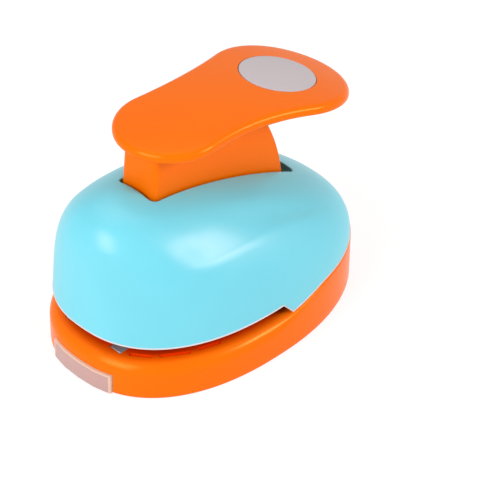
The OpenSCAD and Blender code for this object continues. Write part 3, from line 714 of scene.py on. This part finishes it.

# %% [markdown]
# ### The cover's bosses
# Four screws from below hold the cover, and each goes into a round boss that hangs from the dome. Rings don't
# follow a round foot, so a rod is trimmed by a solid that ends in the middle of the wall, joined on and
# bored. The Boolean copies vertex attributes to the wrong places, so the lip, where a highlight is painted,
# is marked afterwards.

# %% Screw bosses inside the cover
BOSS_R, TAP_R, TAP_H = 2.6, 1.3, 6.5
FRONT_BOSS, REAR_BOSS = (-20.0, 14.5, 14.6, 14.6), (25.4, 8.6, 10.9, 8.8)  # x, y, lower end, screw seat
PIN_END, PIN_CLEAR_R = 9.5, 3.0
TRIM_RINGS = 20


def inside_of_wall():
    """A solid up to the middle of the cover's wall, which trims the bosses."""
    shares = [k / TRIM_RINGS for k in range(TRIM_RINGS)]
    levels = [[dome(turn, u, COVER_WALL / 2) for turn in cover_turns] for u in shares]
    made, low, high = grow([[(x, y, DECK_Z) for x, y, _ in levels[0]]] + levels)
    flat_cap(made, low)
    flat_cap(made, high)
    return made


for x, y, low, seat_z in (FRONT_BOSS, REAR_BOSS):
    boss = side_pair(lambda side: rod(x, side * y, low, COVER_EDGE + COVER_H, BOSS_R))
    shell = combine(shell, combine(boss, inside_of_wall(), "INTERSECT"), "UNION")
    hole = side_pair(lambda side: rod(x, side * y, low - 1, seat_z + TAP_H, TAP_R, HOLE_SIDES))
    shell = combine(shell, hole, "DIFFERENCE")
shell = combine(shell, cross_rod(PIVOT_X, PIVOT_Z, -PIN_END, PIN_END, PIN_CLEAR_R), "DIFFERENCE")
# The lip attribute marks the cover's lower lip, where a pale highlight is painted.
lip = shell.verts.layers.float.new("lip")
for vert in shell.verts:
    vert[lip] = float(vert.co.to_tuple(PLACE_DIGITS) in lip_places)
hand_over(shell, "cover_shell", "cover", blue_plastic, crisp=50)

# %% [markdown]
# ## The base
# The orange base is a shallow tray turned upside down, with the paper deck on top. Its rim is wide and round
# at the front, where the hand guides the paper, and narrow behind the gap, where the cover sits on it. Rings
# make the outside and the deck; pockets and windows are cut afterwards, and ribs are joined on underneath.

# %% The base's rings
BASE_WALL, CEILING_Z = 2.4, 5.0
FOOT_R, FOOT_IN = 0.6, 0.3
RIM_R, REAR_RIM_R, RIM_X = 3.2, 0.6, NOTCH_X - 5.4
WALL_LEVELS = (2, 3.5, 5)
DECK_IN = 0.05
base_turns = even_turns()


def outline(turn, inset):
    ahead, across = squared_turn(turn, BASE_BACK_POWER)
    return -(HALF_L - inset) * ahead, (HALF_W - inset) * across


def rim(x):
    """Radius of the rim, which gets narrow behind the gap."""
    return RIM_R + (REAR_RIM_R - RIM_R) * ease((x - RIM_X) / RISE_RUN)


def rim_ring(a):
    ring = []
    for turn in base_turns:
        x = outline(turn, 0)[0]
        place = outline(turn, rim(x) * (1 - math.cos(a)))
        ring.append((*place, seam_z(x) - rim(x) * (1 - math.sin(a))))
    return ring


def level_ring(inset, z):
    return [(*outline(turn, inset), z) for turn in base_turns]


def inner_ring(extra, on_deck):
    """A ring inside the rim, at its upper edge or down on the deck."""
    ring = []
    for turn in base_turns:
        x = outline(turn, 0)[0]
        place = outline(turn, max(rim(x), BASE_WALL) + extra)
        ring.append((*place, DECK_Z if on_deck else seam_z(x)))
    return ring


rings = [level_ring(BASE_WALL, z) for z in (CEILING_Z, FOOT_IN)] + [level_ring(BASE_WALL - FOOT_IN, 0)]
rings += [level_ring(FOOT_R * (1 - math.sin(a)), FOOT_R * (1 - math.cos(a))) for a in rounding]
rings += [level_ring(0, z) for z in WALL_LEVELS]
rings += [rim_ring(math.radians(a)) for a in range(0, 91, 9)]
rings += [inner_ring(0, False), inner_ring(DECK_IN, True)]
shell, first, last = grow(rings)
flat_cap(shell, first)
flat_cap(shell, last)
print("base rings:", len(rings))

# %% Ribs, lugs and bosses under the deck
HINGE_X, HINGE_Z, HINGE_R, KNUCKLE_R = 1.0, 2.6, 1.0, 2.0
LUG_IN, LUG_OUT = 9.8, 12.3
RIB_X, RIB_T, RIB_HALF, RIB_END = 4.6, 2.0, 21.6, 33.4
DIE_SCREW_X, DIE_SCREW_Y, DIE_BOSS_R, DIE_BOSS_H = -22.5, 10, 2.65, 2.4
STEP_BACK, REAR_CEILING, STEP_LAP = 20.5, 6.6, 0.5
ROOT_Z = CEILING_Z + 0.6  # what hangs from the ceiling starts a little inside it


def lug(side):
    y0, y1 = sorted((side * LUG_IN, side * LUG_OUT))
    return combine(cross_rod(HINGE_X, HINGE_Z, y0, y1, KNUCKLE_R),
                   block(HINGE_X - KNUCKLE_R, HINGE_X + KNUCKLE_R, y0, y1, HINGE_Z, ROOT_Z), "UNION")


def die_boss(side):
    return rod(DIE_SCREW_X, side * DIE_SCREW_Y, CEILING_Z - DIE_BOSS_H, ROOT_Z, DIE_BOSS_R)


rear = [outline(turn, BASE_WALL) for turn in base_turns if outline(turn, BASE_WALL)[0] > STEP_BACK]
shell = combine(shell, plate(rear, CEILING_Z - STEP_LAP, REAR_CEILING), "DIFFERENCE")
shell = combine(shell, block(RIB_X, RIB_X + RIB_T, -RIB_HALF, RIB_HALF, 0, ROOT_Z), "UNION")
shell = combine(shell, block(RIB_X, RIB_END, -RIB_T / 2, RIB_T / 2, FOOT_R, ROOT_Z), "UNION")
shell = combine(shell, side_pair(lug), "UNION")
shell = combine(shell, side_pair(die_boss), "UNION")
print("base faces with ribs:", len(shell.faces))

# %% Grooves, pockets, windows and holes of the base
DIE_Z, DIE_CLEAR = 6.2, 0.15
CUT_R = 8.0
CHIP_R, CHIP_SIDES = CUT_R + 1.5, 96
TAB_HALF, TAB_H, TAB_DOOR_X = 8.5, 4.9, -25
BORE_CLEAR, BORE_HALF = 0.05, 13
GROOVE_HALF, GROOVE_DEPTH, GROOVE_IN = 0.4, 0.35, 0.2
GROOVES = ((29, 4.8), (46, 6.4), (62, 5.0))  # degrees from the front, length
NUDGE = 0.02  # turn to either side, for the rim's direction
FRAME_SCREWS_X, FRAME_SCREW_Y = (9.49, 15.99), 12.05
FRAME_HOLE_R, HEAD_R, HEAD_SEAT_Z = 1.55, 2.75, 5.2
BELOW, ABOVE, FAR = -1, 12, 60


def die_outline(c):
    """The die plate's outline with a clearance: two tabs at its nose, then shoulders and straight sides."""
    front, back, nose, half, tab, tab_in, tab_out, shoulder = -28.2, 19.0, 8.0, 14.5, 3.2, 5.0, 8.0, 6
    side = [(front - tab - c, tab_in - c), (front - tab - c, tab_out + c), (front - c, nose + c)]
    side = [(front - c, tab_in - c)] + side + [(front + shoulder - c, half + c), (back + c, half + c)]
    return side + [(x, -y) for x, y in reversed(side)]


def deck_groove(side, turn, length):
    """One groove in the deck, along the rim."""
    x, y = outline(turn, RIM_R - GROOVE_IN)
    ahead, behind = outline(turn + NUDGE, 0), outline(turn - NUDGE, 0)
    way = math.atan2(ahead[1] - behind[1], ahead[0] - behind[0])
    bm = block(-length / 2, length / 2, -GROOVE_HALF, GROOVE_HALF, -GROOVE_DEPTH, 1 - GROOVE_DEPTH)
    bmesh.ops.translate(bm, vec=-spot(0, 0, 0), verts=bm.verts)
    bmesh.ops.rotate(bm, matrix=Matrix.Rotation(side * way, 3, "Z"), verts=bm.verts)
    bmesh.ops.translate(bm, vec=spot(x, side * y, DECK_Z), verts=bm.verts)
    return bm


for turn, length in GROOVES:
    groove = side_pair(lambda side: deck_groove(side, math.radians(turn), length))
    shell = combine(shell, groove, "DIFFERENCE")
shell = combine(shell, plate(die_outline(DIE_CLEAR), DIE_Z, ABOVE), "DIFFERENCE")
shell = combine(shell, rod(PUNCH_X, 0, 0, ABOVE, CHIP_R, CHIP_SIDES), "DIFFERENCE")
shell = combine(shell, block(-FAR, TAB_DOOR_X, -TAB_HALF, TAB_HALF, BELOW, TAB_H), "DIFFERENCE")
hinge_bore = cross_rod(HINGE_X, HINGE_Z, -BORE_HALF, BORE_HALF, HINGE_R + BORE_CLEAR)
shell = combine(shell, hinge_bore, "DIFFERENCE")
holes = [(DIE_SCREW_X, DIE_SCREW_Y, TAP_R, ABOVE)]
holes += [(x, FRAME_SCREW_Y, FRAME_HOLE_R, ABOVE) for x in FRAME_SCREWS_X]
holes += [(*REAR_BOSS[:2], TAP_R, ABOVE)]
holes += [(x, FRAME_SCREW_Y, HEAD_R, HEAD_SEAT_Z) for x in FRAME_SCREWS_X]
for x, y, r, top in holes:
    shell = combine(shell, side_pair(lambda side: rod(x, side * y, BELOW, top, r, HOLE_SIDES)), "DIFFERENCE")
hand_over(shell, "base_shell", "base", orange_plastic)

# %% [markdown]
# ## The lever
# The thumb pad is a plate with two round lobes, drawn in between them and bent down to the back. Rings follow
# its outline from the underside over the rounded edge to the crowned top. The stem is a side view extruded
# across the lever, with rounded corners, and its back face is round about the pivot, so it stays the same
# distance from the slot's end as the lever turns.

# %% The pad's outline
LEVER_TOP, PAD_T, PAD_ROUND, PAD_LOW_R = 50.7, 2.2, 1.3, 0.6
PAD_CROWN, PAD_BEND_R = 0.5, 136.0
FRONT_R, BACK_R, NECK_R = 11.5, 14.6, 63.0
FRONT_X, BACK_X = -9.4, 20.8
BEND_X = FRONT_X + 0.9
PAD_STEPS = 200
span = BACK_X - FRONT_X
reach_front, reach_back = FRONT_R + NECK_R, BACK_R + NECK_R
NECK_X = FRONT_X + (reach_front ** 2 - reach_back ** 2 + span ** 2) / (2 * span)
NECK_Y = math.sqrt(reach_front ** 2 - (NECK_X - FRONT_X) ** 2)
TOUCH_FRONT = math.atan2(NECK_Y, NECK_X - FRONT_X)
TOUCH_BACK = math.atan2(NECK_Y, NECK_X - BACK_X)


def bend(x):
    """How far the pad has dropped at a distance along the body."""
    return max(0.0, x - BEND_X) ** 2 / (2 * PAD_BEND_R)


def crown(inset):
    """How far the top has risen at a distance from its edge."""
    return PAD_CROWN * (1 - (1 - min(1.0, inset / FRONT_R)) ** 2)


def pad_side(share, inset):
    """A point of the pad's left outline, from its front tip (0) to its back tip (1)."""
    arcs = ((FRONT_X, 0, FRONT_R, -inset, math.pi, TOUCH_FRONT),
            (NECK_X, NECK_Y, NECK_R, inset, TOUCH_FRONT - math.pi, TOUCH_BACK - math.pi),
            (BACK_X, 0, BACK_R, -inset, TOUCH_BACK, 0))
    lengths = [abs(to - start) * r for _, _, r, _, start, to in arcs]
    run = share * sum(lengths)
    for (x, y, r, change, start, to), length in zip(arcs, lengths):
        if run <= length + 1e-9:
            a = start + (to - start) * run / length
            return x + (r + change) * math.cos(a), y + (r + change) * math.sin(a)
        run -= length
    return BACK_X + BACK_R - inset, 0.0


def pad_ring(inset, z):
    half = PAD_STEPS // 2
    left = [pad_side(i / half, inset) for i in range(half + 1)]
    left[0], left[-1] = (left[0][0], 0.0), (left[-1][0], 0.0)
    around = left + [(x, -y) for x, y in reversed(left[1:-1])]
    return [(x, y, LEVER_TOP - PAD_CROWN + z - bend(x)) for x, y in around]


print("pad length:", round(span + FRONT_R + BACK_R, 1), "mm")

# %% The pad's rings
UNDER_INSETS = (10.6, 7, 4, 2)
TOP_INSETS = (2.2, 3, 4.2, 5.6, 7, 8.4, 9.6, 10.6)
edge_angles = [math.radians(a) for a in range(0, 91, 15)]
rings = [pad_ring(inset, -PAD_T) for inset in UNDER_INSETS]
rings += [pad_ring(PAD_LOW_R * (1 - math.sin(a)), PAD_LOW_R * (1 - math.cos(a)) - PAD_T) for a in rounding]
rings += [pad_ring(PAD_ROUND * (1 - math.cos(a)), PAD_ROUND * (math.sin(a) - 1)) for a in edge_angles]
rings += [pad_ring(inset, crown(inset) - crown(PAD_ROUND)) for inset in TOP_INSETS]
pad, first, last = grow(rings)
strip_cap(pad, first)
strip_cap(pad, last)
print("pad rings:", len(rings))

# %% Side views of the stem, its hollow and the arm
STEM_FRONT, STEM_LEAN, STEM_HALF, STEM_WALL = -18.9, 1.4, 4.8, 1.6
STEM_CORNER, STEM_BACK_R = 1.2, 44.3
STEM_TOP, STEM_LOW = LEVER_TOP - PAD_CROWN - PAD_T / 2, 24.4
HUB_HALF, HUB_R = 4.6, 3.2
NOSE_R, NOSE_Z, NOSE_HALF = 3.0, 26.073, 3.3
ARM_TOP, ARM_LOW, ARM_LAP = PIVOT_Z + 14.6, 25.6, 1.6
WEB_LOW, WEB_BACK = NOSE_Z + 1.4, PUNCH_X + 8
ARC_LOW, ARC_STEPS = WEB_LOW - 1, 24


def back_arc(r, z0, z1):
    """A round line about the pivot, in the side view, between two heights."""
    low, high = (math.asin((z - PIVOT_Z) / r) for z in (z0, z1))
    turns = [low + (high - low) * i / ARC_STEPS for i in range(ARC_STEPS + 1)]
    return [(PIVOT_X + r * math.cos(a), PIVOT_Z + r * math.sin(a)) for a in turns]


stem_arc = back_arc(STEM_BACK_R, ARC_LOW, STEM_TOP - STEM_LEAN)
stem_end = stem_arc[-1][0]
stem_side = [(STEM_FRONT + STEM_LEAN, STEM_TOP), (STEM_FRONT, ARM_TOP), (STEM_FRONT, STEM_LOW),
             (PUNCH_X - NOSE_R, WEB_LOW), (WEB_BACK, WEB_LOW)]
stem_side += stem_arc + [(stem_end - STEM_LEAN, STEM_TOP - bend(stem_end + STEM_LEAN))]
cavity_front, cavity_top = STEM_FRONT + 2 * STEM_WALL, STEM_TOP - PAD_T
cavity_side = [(cavity_front, 0), (cavity_front, cavity_top)]
cavity_side += back_arc(STEM_BACK_R - 2 * STEM_WALL, PIVOT_Z, cavity_top)[::-1]
cavity_side += [(PIVOT_X + STEM_BACK_R - 2 * STEM_WALL, 0)]
arm_side = [(STEM_FRONT + ARM_LAP, ARM_TOP), (STEM_FRONT, ARM_TOP),
            (PIVOT_X - HUB_R * math.cos(math.radians(30)), PIVOT_Z + HUB_R / 2),
            (PIVOT_X, PIVOT_Z - HUB_R / 2), (PIVOT_X + HUB_R, PIVOT_Z), (STEM_FRONT + ARM_LAP, ARM_LOW)]
print("stem's back end at the top:", round(stem_end, 2), "mm")

# %% The stem, the arm and the hub
WEB_HALF_T, WEB_HALF_W = 1.5, 4
PIVOT_BORE_R, PIVOT_BORE_HALF = 1.56, 6
stem = plate(stem_side, -STEM_HALF, STEM_HALF, "y")
front_edge = spot(STEM_FRONT + STEM_LEAN + 0.01, 0, 0).x
corners = [e for e in stem.edges if abs(e.verts[0].co.y - e.verts[1].co.y) < MM
           and max(v.co.x for v in e.verts) < front_edge]
bmesh.ops.bevel(stem, geom=corners, offset=STEM_CORNER * MM, affect="EDGES", segments=5, profile=0.5,
                material=-1)
web = block(PUNCH_X - WEB_HALF_T, PUNCH_X + WEB_HALF_T, -WEB_HALF_W, WEB_HALF_W, NOSE_Z, STEM_TOP)
for helper, operation in (
        (plate(arm_side, -HUB_HALF, HUB_HALF, "y"), "UNION"),
        (plate(cavity_side, STEM_WALL - STEM_HALF, STEM_HALF - STEM_WALL, "y"), "DIFFERENCE"),
        (web, "UNION"),
        (cross_rod(PUNCH_X, NOSE_Z, -NOSE_HALF, NOSE_HALF, NOSE_R), "UNION"),
        (cross_rod(PIVOT_X, PIVOT_Z, -HUB_HALF, HUB_HALF, HUB_R), "UNION"),
        (cross_rod(PIVOT_X, PIVOT_Z, -PIVOT_BORE_HALF, PIVOT_BORE_HALF, PIVOT_BORE_R), "DIFFERENCE")):
    stem = combine(stem, helper, operation)
print("stem faces:", len(stem.faces))

# %% [markdown]
# ### The inlay
# A grey disc lies in a round seat on the back lobe and has the size of the cut. The pad is bent there, so the
# disc and the tool that cuts its seat are made flat and share one matrix, which tilts and places them both.

# %% The inlay's seat, and the lever as one moulding
DISC_X, DISC_T, DISC_SINK, DISC_GAP = 20.7, 1.0, 0.15, 0.16
DISC_SIDES, SEAT_H = 128, 6
disc_tilt = math.asin((DISC_X - BEND_X) / PAD_BEND_R)
disc_place = (Matrix.Translation(spot(DISC_X, 0, LEVER_TOP - bend(DISC_X)))
              @ Matrix.Rotation(disc_tilt, 4, "Y") @ Matrix.Translation((0, 0, -(DISC_SINK + DISC_T) * MM)))


def disc_shape(r, height):
    """A disc that stands on the origin."""
    bm = bar(height, r, DISC_SIDES)
    bmesh.ops.translate(bm, vec=(0, 0, height / 2 * MM), verts=bm.verts)
    return bm


seat = disc_shape(CUT_R + DISC_GAP, SEAT_H)
bmesh.ops.transform(seat, matrix=disc_place, verts=seat.verts)
lever_shape = combine(combine(pad, stem, "UNION"), seat, "DIFFERENCE")
hand_over(lever_shape, "lever_body", "lever", orange_plastic)

# %% The round inlay
DISC_EDGE = 0.14
inlay = disc_shape(CUT_R, DISC_T)
rim_edges = [e for e in inlay.edges if min(v.co.z for v in e.verts) > 0.9 * DISC_T * MM]
bmesh.ops.bevel(inlay, geom=rim_edges, offset=DISC_EDGE * MM, affect="EDGES", segments=3, profile=0.5,
                material=-1)
bmesh.ops.transform(inlay, matrix=disc_place, verts=inlay.verts)
hand_over(inlay, "thumb_inlay", "thumb_disc", grey_plastic)

# %% [markdown]
# ## The return springs
# A spring is a round wire swept along a helix. The spin operator does that in one step when it also lifts the
# section on each step.

# %% Two coils
POST_Y, COIL_R, WIRE_R, COIL_TURNS = 12.4, 2.35, 0.3, 4.5
SPRING_LOW, SPRING_HIGH, SPRING_PLAY = 12.1, 20.373, 0.05
TURN_STEPS, WIRE_SIDES = 28, 12


def coil(side):
    bm = bmesh.new()
    wire = bmesh.ops.create_circle(bm, segments=WIRE_SIDES, radius=WIRE_R * MM, cap_ends=True)["verts"]
    bmesh.ops.rotate(bm, matrix=Matrix.Rotation(math.radians(90), 3, "X"), verts=wire)
    low, high = SPRING_LOW + WIRE_R + SPRING_PLAY, SPRING_HIGH - WIRE_R - SPRING_PLAY
    bmesh.ops.translate(bm, vec=spot(PUNCH_X + COIL_R, POST_Y, low), verts=wire)
    steps = round(COIL_TURNS * TURN_STEPS)
    bmesh.ops.spin(bm, geom=bm.verts[:] + bm.edges[:] + bm.faces[:], cent=spot(PUNCH_X, POST_Y, low),
                   axis=(0, 0, 1), dvec=(0, 0, (high - low) * MM / steps),
                   angle=2 * math.pi * COIL_TURNS, steps=steps)
    if side < 0:
        bmesh.ops.scale(bm, vec=(1, -1, 1), verts=bm.verts)
    return bm


for side, name in ((1, "left"), (-1, "right")):
    spring = hand_over(coil(side), "spring_" + name, "return_spring_" + name, steels["spring_steel"],
                       crisp=60)
    tuple(spot(PUNCH_X, side * POST_Y, SPRING_LOW))
    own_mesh(spring)

# %% [markdown]
# ## The metal pieces and the tray
# Real metal has no knife edges: a small bevel catches the light. The CAD solids are right in every other way,
# so each piece starts as a copy of its solid. Its loose triangles are merged, flat faces are joined up again,
# and the remaining edges are bevelled.

# %% Bevelled copies of the solids
FLAT, SHARP = math.radians(1), math.radians(38)
EDGE_WIDTHS = {"die_plate": 0.12, "spacer_left": 0.12, "spacer_right": 0.12, "guide_block": 0.2,
               "punch_carrier": 0.25, "punch_cutter": 0.06, "guide_post_left": 0.2, "guide_post_right": 0.2,
               "pivot_pin": 0.1, "pivot_clip_left": 0.06, "pivot_clip_right": 0.06, "tray_hinge_pin": 0.15,
               "die_screws": 0.08, "frame_screws": 0.25, "punch_screws": 0.08, "cover_screws": 0.2}
TRAY_EDGE = 0.2


def bevelled(node, width):
    bm = bmesh.new()
    bm.from_mesh(frame["nodes"][node].data)
    bmesh.ops.remove_doubles(bm, verts=bm.verts, dist=2 * WELD * MM)
    bmesh.ops.dissolve_limit(bm, angle_limit=FLAT, verts=bm.verts, edges=bm.edges)
    sharp = [e for e in bm.edges if len(e.link_faces) == 2 and e.calc_face_angle(0) > SHARP]
    bmesh.ops.bevel(bm, geom=sharp, offset=width * MM, affect="EDGES", segments=2, profile=0.5, material=-1,
                    clamp_overlap=True)
    return bm


for node, width in EDGE_WIDTHS.items():
    hand_over(bevelled(node, width), node + "_metal", node, steels[SLOT_OF[node]])
hand_over(bevelled("chip_tray", TRAY_EDGE), "tray_shell", "chip_tray", tray_plastic)

# %% [markdown]
# ## Floor and light
# A catalogue picture: a white floor that runs into a white surround, a soft light from the punch's front, a
# narrower one from the near right and a weak one from above. A white surround could come from more light, but
# that would wash out the colours. Instead the floor and the surround glow to the camera, to mirrors and
# through clear plastic, so they read as white there and the floor still keeps the punch's shadow.

# %% Floor
FLOOR_HALF, FLOOR_DROP = 3, 0.02
FLOOR_GRAIN, FLOOR_ROUGHNESS = 30, 0.9
GLOW, GLOW_SHARE = 1.1, 0.75


def background_rays(wiring):
    """1 for the rays that show what is behind: to the camera, mirrored or through clear plastic."""
    path = wiring.node("LightPath").outputs
    straight, mirrored, through = (Value(wiring, path[kind]) for kind in (
        "Is Camera Ray", "Is Glossy Ray", "Is Transmission Ray"))
    return wiring.calc("MAXIMUM", wiring.calc("MAXIMUM", straight, mirrored), through)


floor_finish = Finish("floor_white")
floor_tone = floor_finish.noise(FLOOR_GRAIN)
floor_white = floor_finish.between(shade(244, 244, 244), shade(248, 248, 248), floor_tone)
floor_finish.wear(floor_white, FLOOR_ROUGHNESS)
glow = floor_finish.node("Emission", None, {"Color": (1, 1, 1, 1), "Strength": GLOW})
mixed = floor_finish.node("MixShader", None, {0: background_rays(floor_finish) * GLOW_SHARE,
                                              1: floor_finish.shader.outputs[0], 2: glow.outputs[0]})
floor_finish.feed(floor_finish.tree.nodes["Material Output"].inputs["Surface"], mixed.outputs[0])
ground = bmesh.new()
bmesh.ops.create_grid(ground, x_segments=8, y_segments=8, size=FLOOR_HALF)
bmesh.ops.translate(ground, vec=(0, 0, -FLOOR_DROP * MM), verts=ground.verts)
floor_mesh = bpy.data.meshes.new("floor")
ground.to_mesh(floor_mesh)
ground.free()
floor_mesh.materials.append(floor_finish.material)
floor = bpy.data.objects.new("floor", floor_mesh)
scene.collection.objects.link(floor)
print("floor:", 2 * FLOOR_HALF, "m wide")

# %% Surround
SKY = 0.36
world = bpy.data.worlds.new("studio")
world.use_nodes = True
scene.world = world
studio = Wiring(world.node_tree)
sky = studio.tree.nodes["Background"]
studio.feed(sky.inputs["Color"], (1, 1, 1, 1))
studio.feed(sky.inputs["Strength"], background_rays(studio) * (1 - SKY) + SKY)
scene.view_settings.view_transform = "Standard"
print("surround's light on the punch:", SKY)

# %% Lamps
LAMP_AIM = Vector((0, 0, 0.02))


def lamp(name, place, size, watts):
    data = bpy.data.lights.new(name, "AREA")
    data.shape = "RECTANGLE"
    data.size, data.size_y = size
    data.energy = watts
    made = bpy.data.objects.new(name, data)
    made.location = place
    made.rotation_euler = (LAMP_AIM - Vector(place)).to_track_quat("-Z", "Y").to_euler()
    scene.collection.objects.link(made)


lamp("key", (-0.56, -0.03, 0.33), (0.38, 0.38), 2.7)
lamp("fill", (0.33, -0.541, 0.345), (0.25, 0.15), 2.2)
lamp("top", (0.1, 0.2, 0.7), (0.6, 0.6), 1.1)

# %% [markdown]
# ## The camera
# The photograph was matched by solving for the direction and the distance of the camera. The lens is long, so
# the lines hardly converge. The camera is turned to frame the punch a little above and left of the picture's
# middle.

# %% Camera
AZIMUTH, ELEVATION = math.radians(-44.4918), math.radians(39.2658)
DISTANCE, LENS, SENSOR = 507.35, 173.64, 36.0
AIM_RIGHT, AIM_UP = 9.503, 10.348
NEAREST, FARTHEST = 0.01, 20
back = Vector((math.sin(AZIMUTH) * math.cos(ELEVATION), -math.cos(AZIMUTH) * math.cos(ELEVATION),
               math.sin(ELEVATION)))
right = Vector((math.cos(AZIMUTH), math.sin(AZIMUTH), 0))
up = back.cross(right)
eye = spot(0, 0, 0) + back * DISTANCE * MM
target = spot(0, 0, 0) + (right * AIM_RIGHT + up * AIM_UP) * MM
look = (eye - target).normalized()
level = (right - look * right.dot(look)).normalized()
turned = Matrix((level, look.cross(level), look)).transposed()
lens = bpy.data.cameras.new("camera")
lens.lens, lens.sensor_width, lens.sensor_fit = LENS, SENSOR, "HORIZONTAL"
lens.clip_start, lens.clip_end = NEAREST, FARTHEST
camera = bpy.data.objects.new("camera", lens)
camera.matrix_world = Matrix.Translation(eye) @ turned.to_4x4()
scene.collection.objects.link(camera)
scene.camera = camera
print("camera", [round(v, 4) for v in eye])
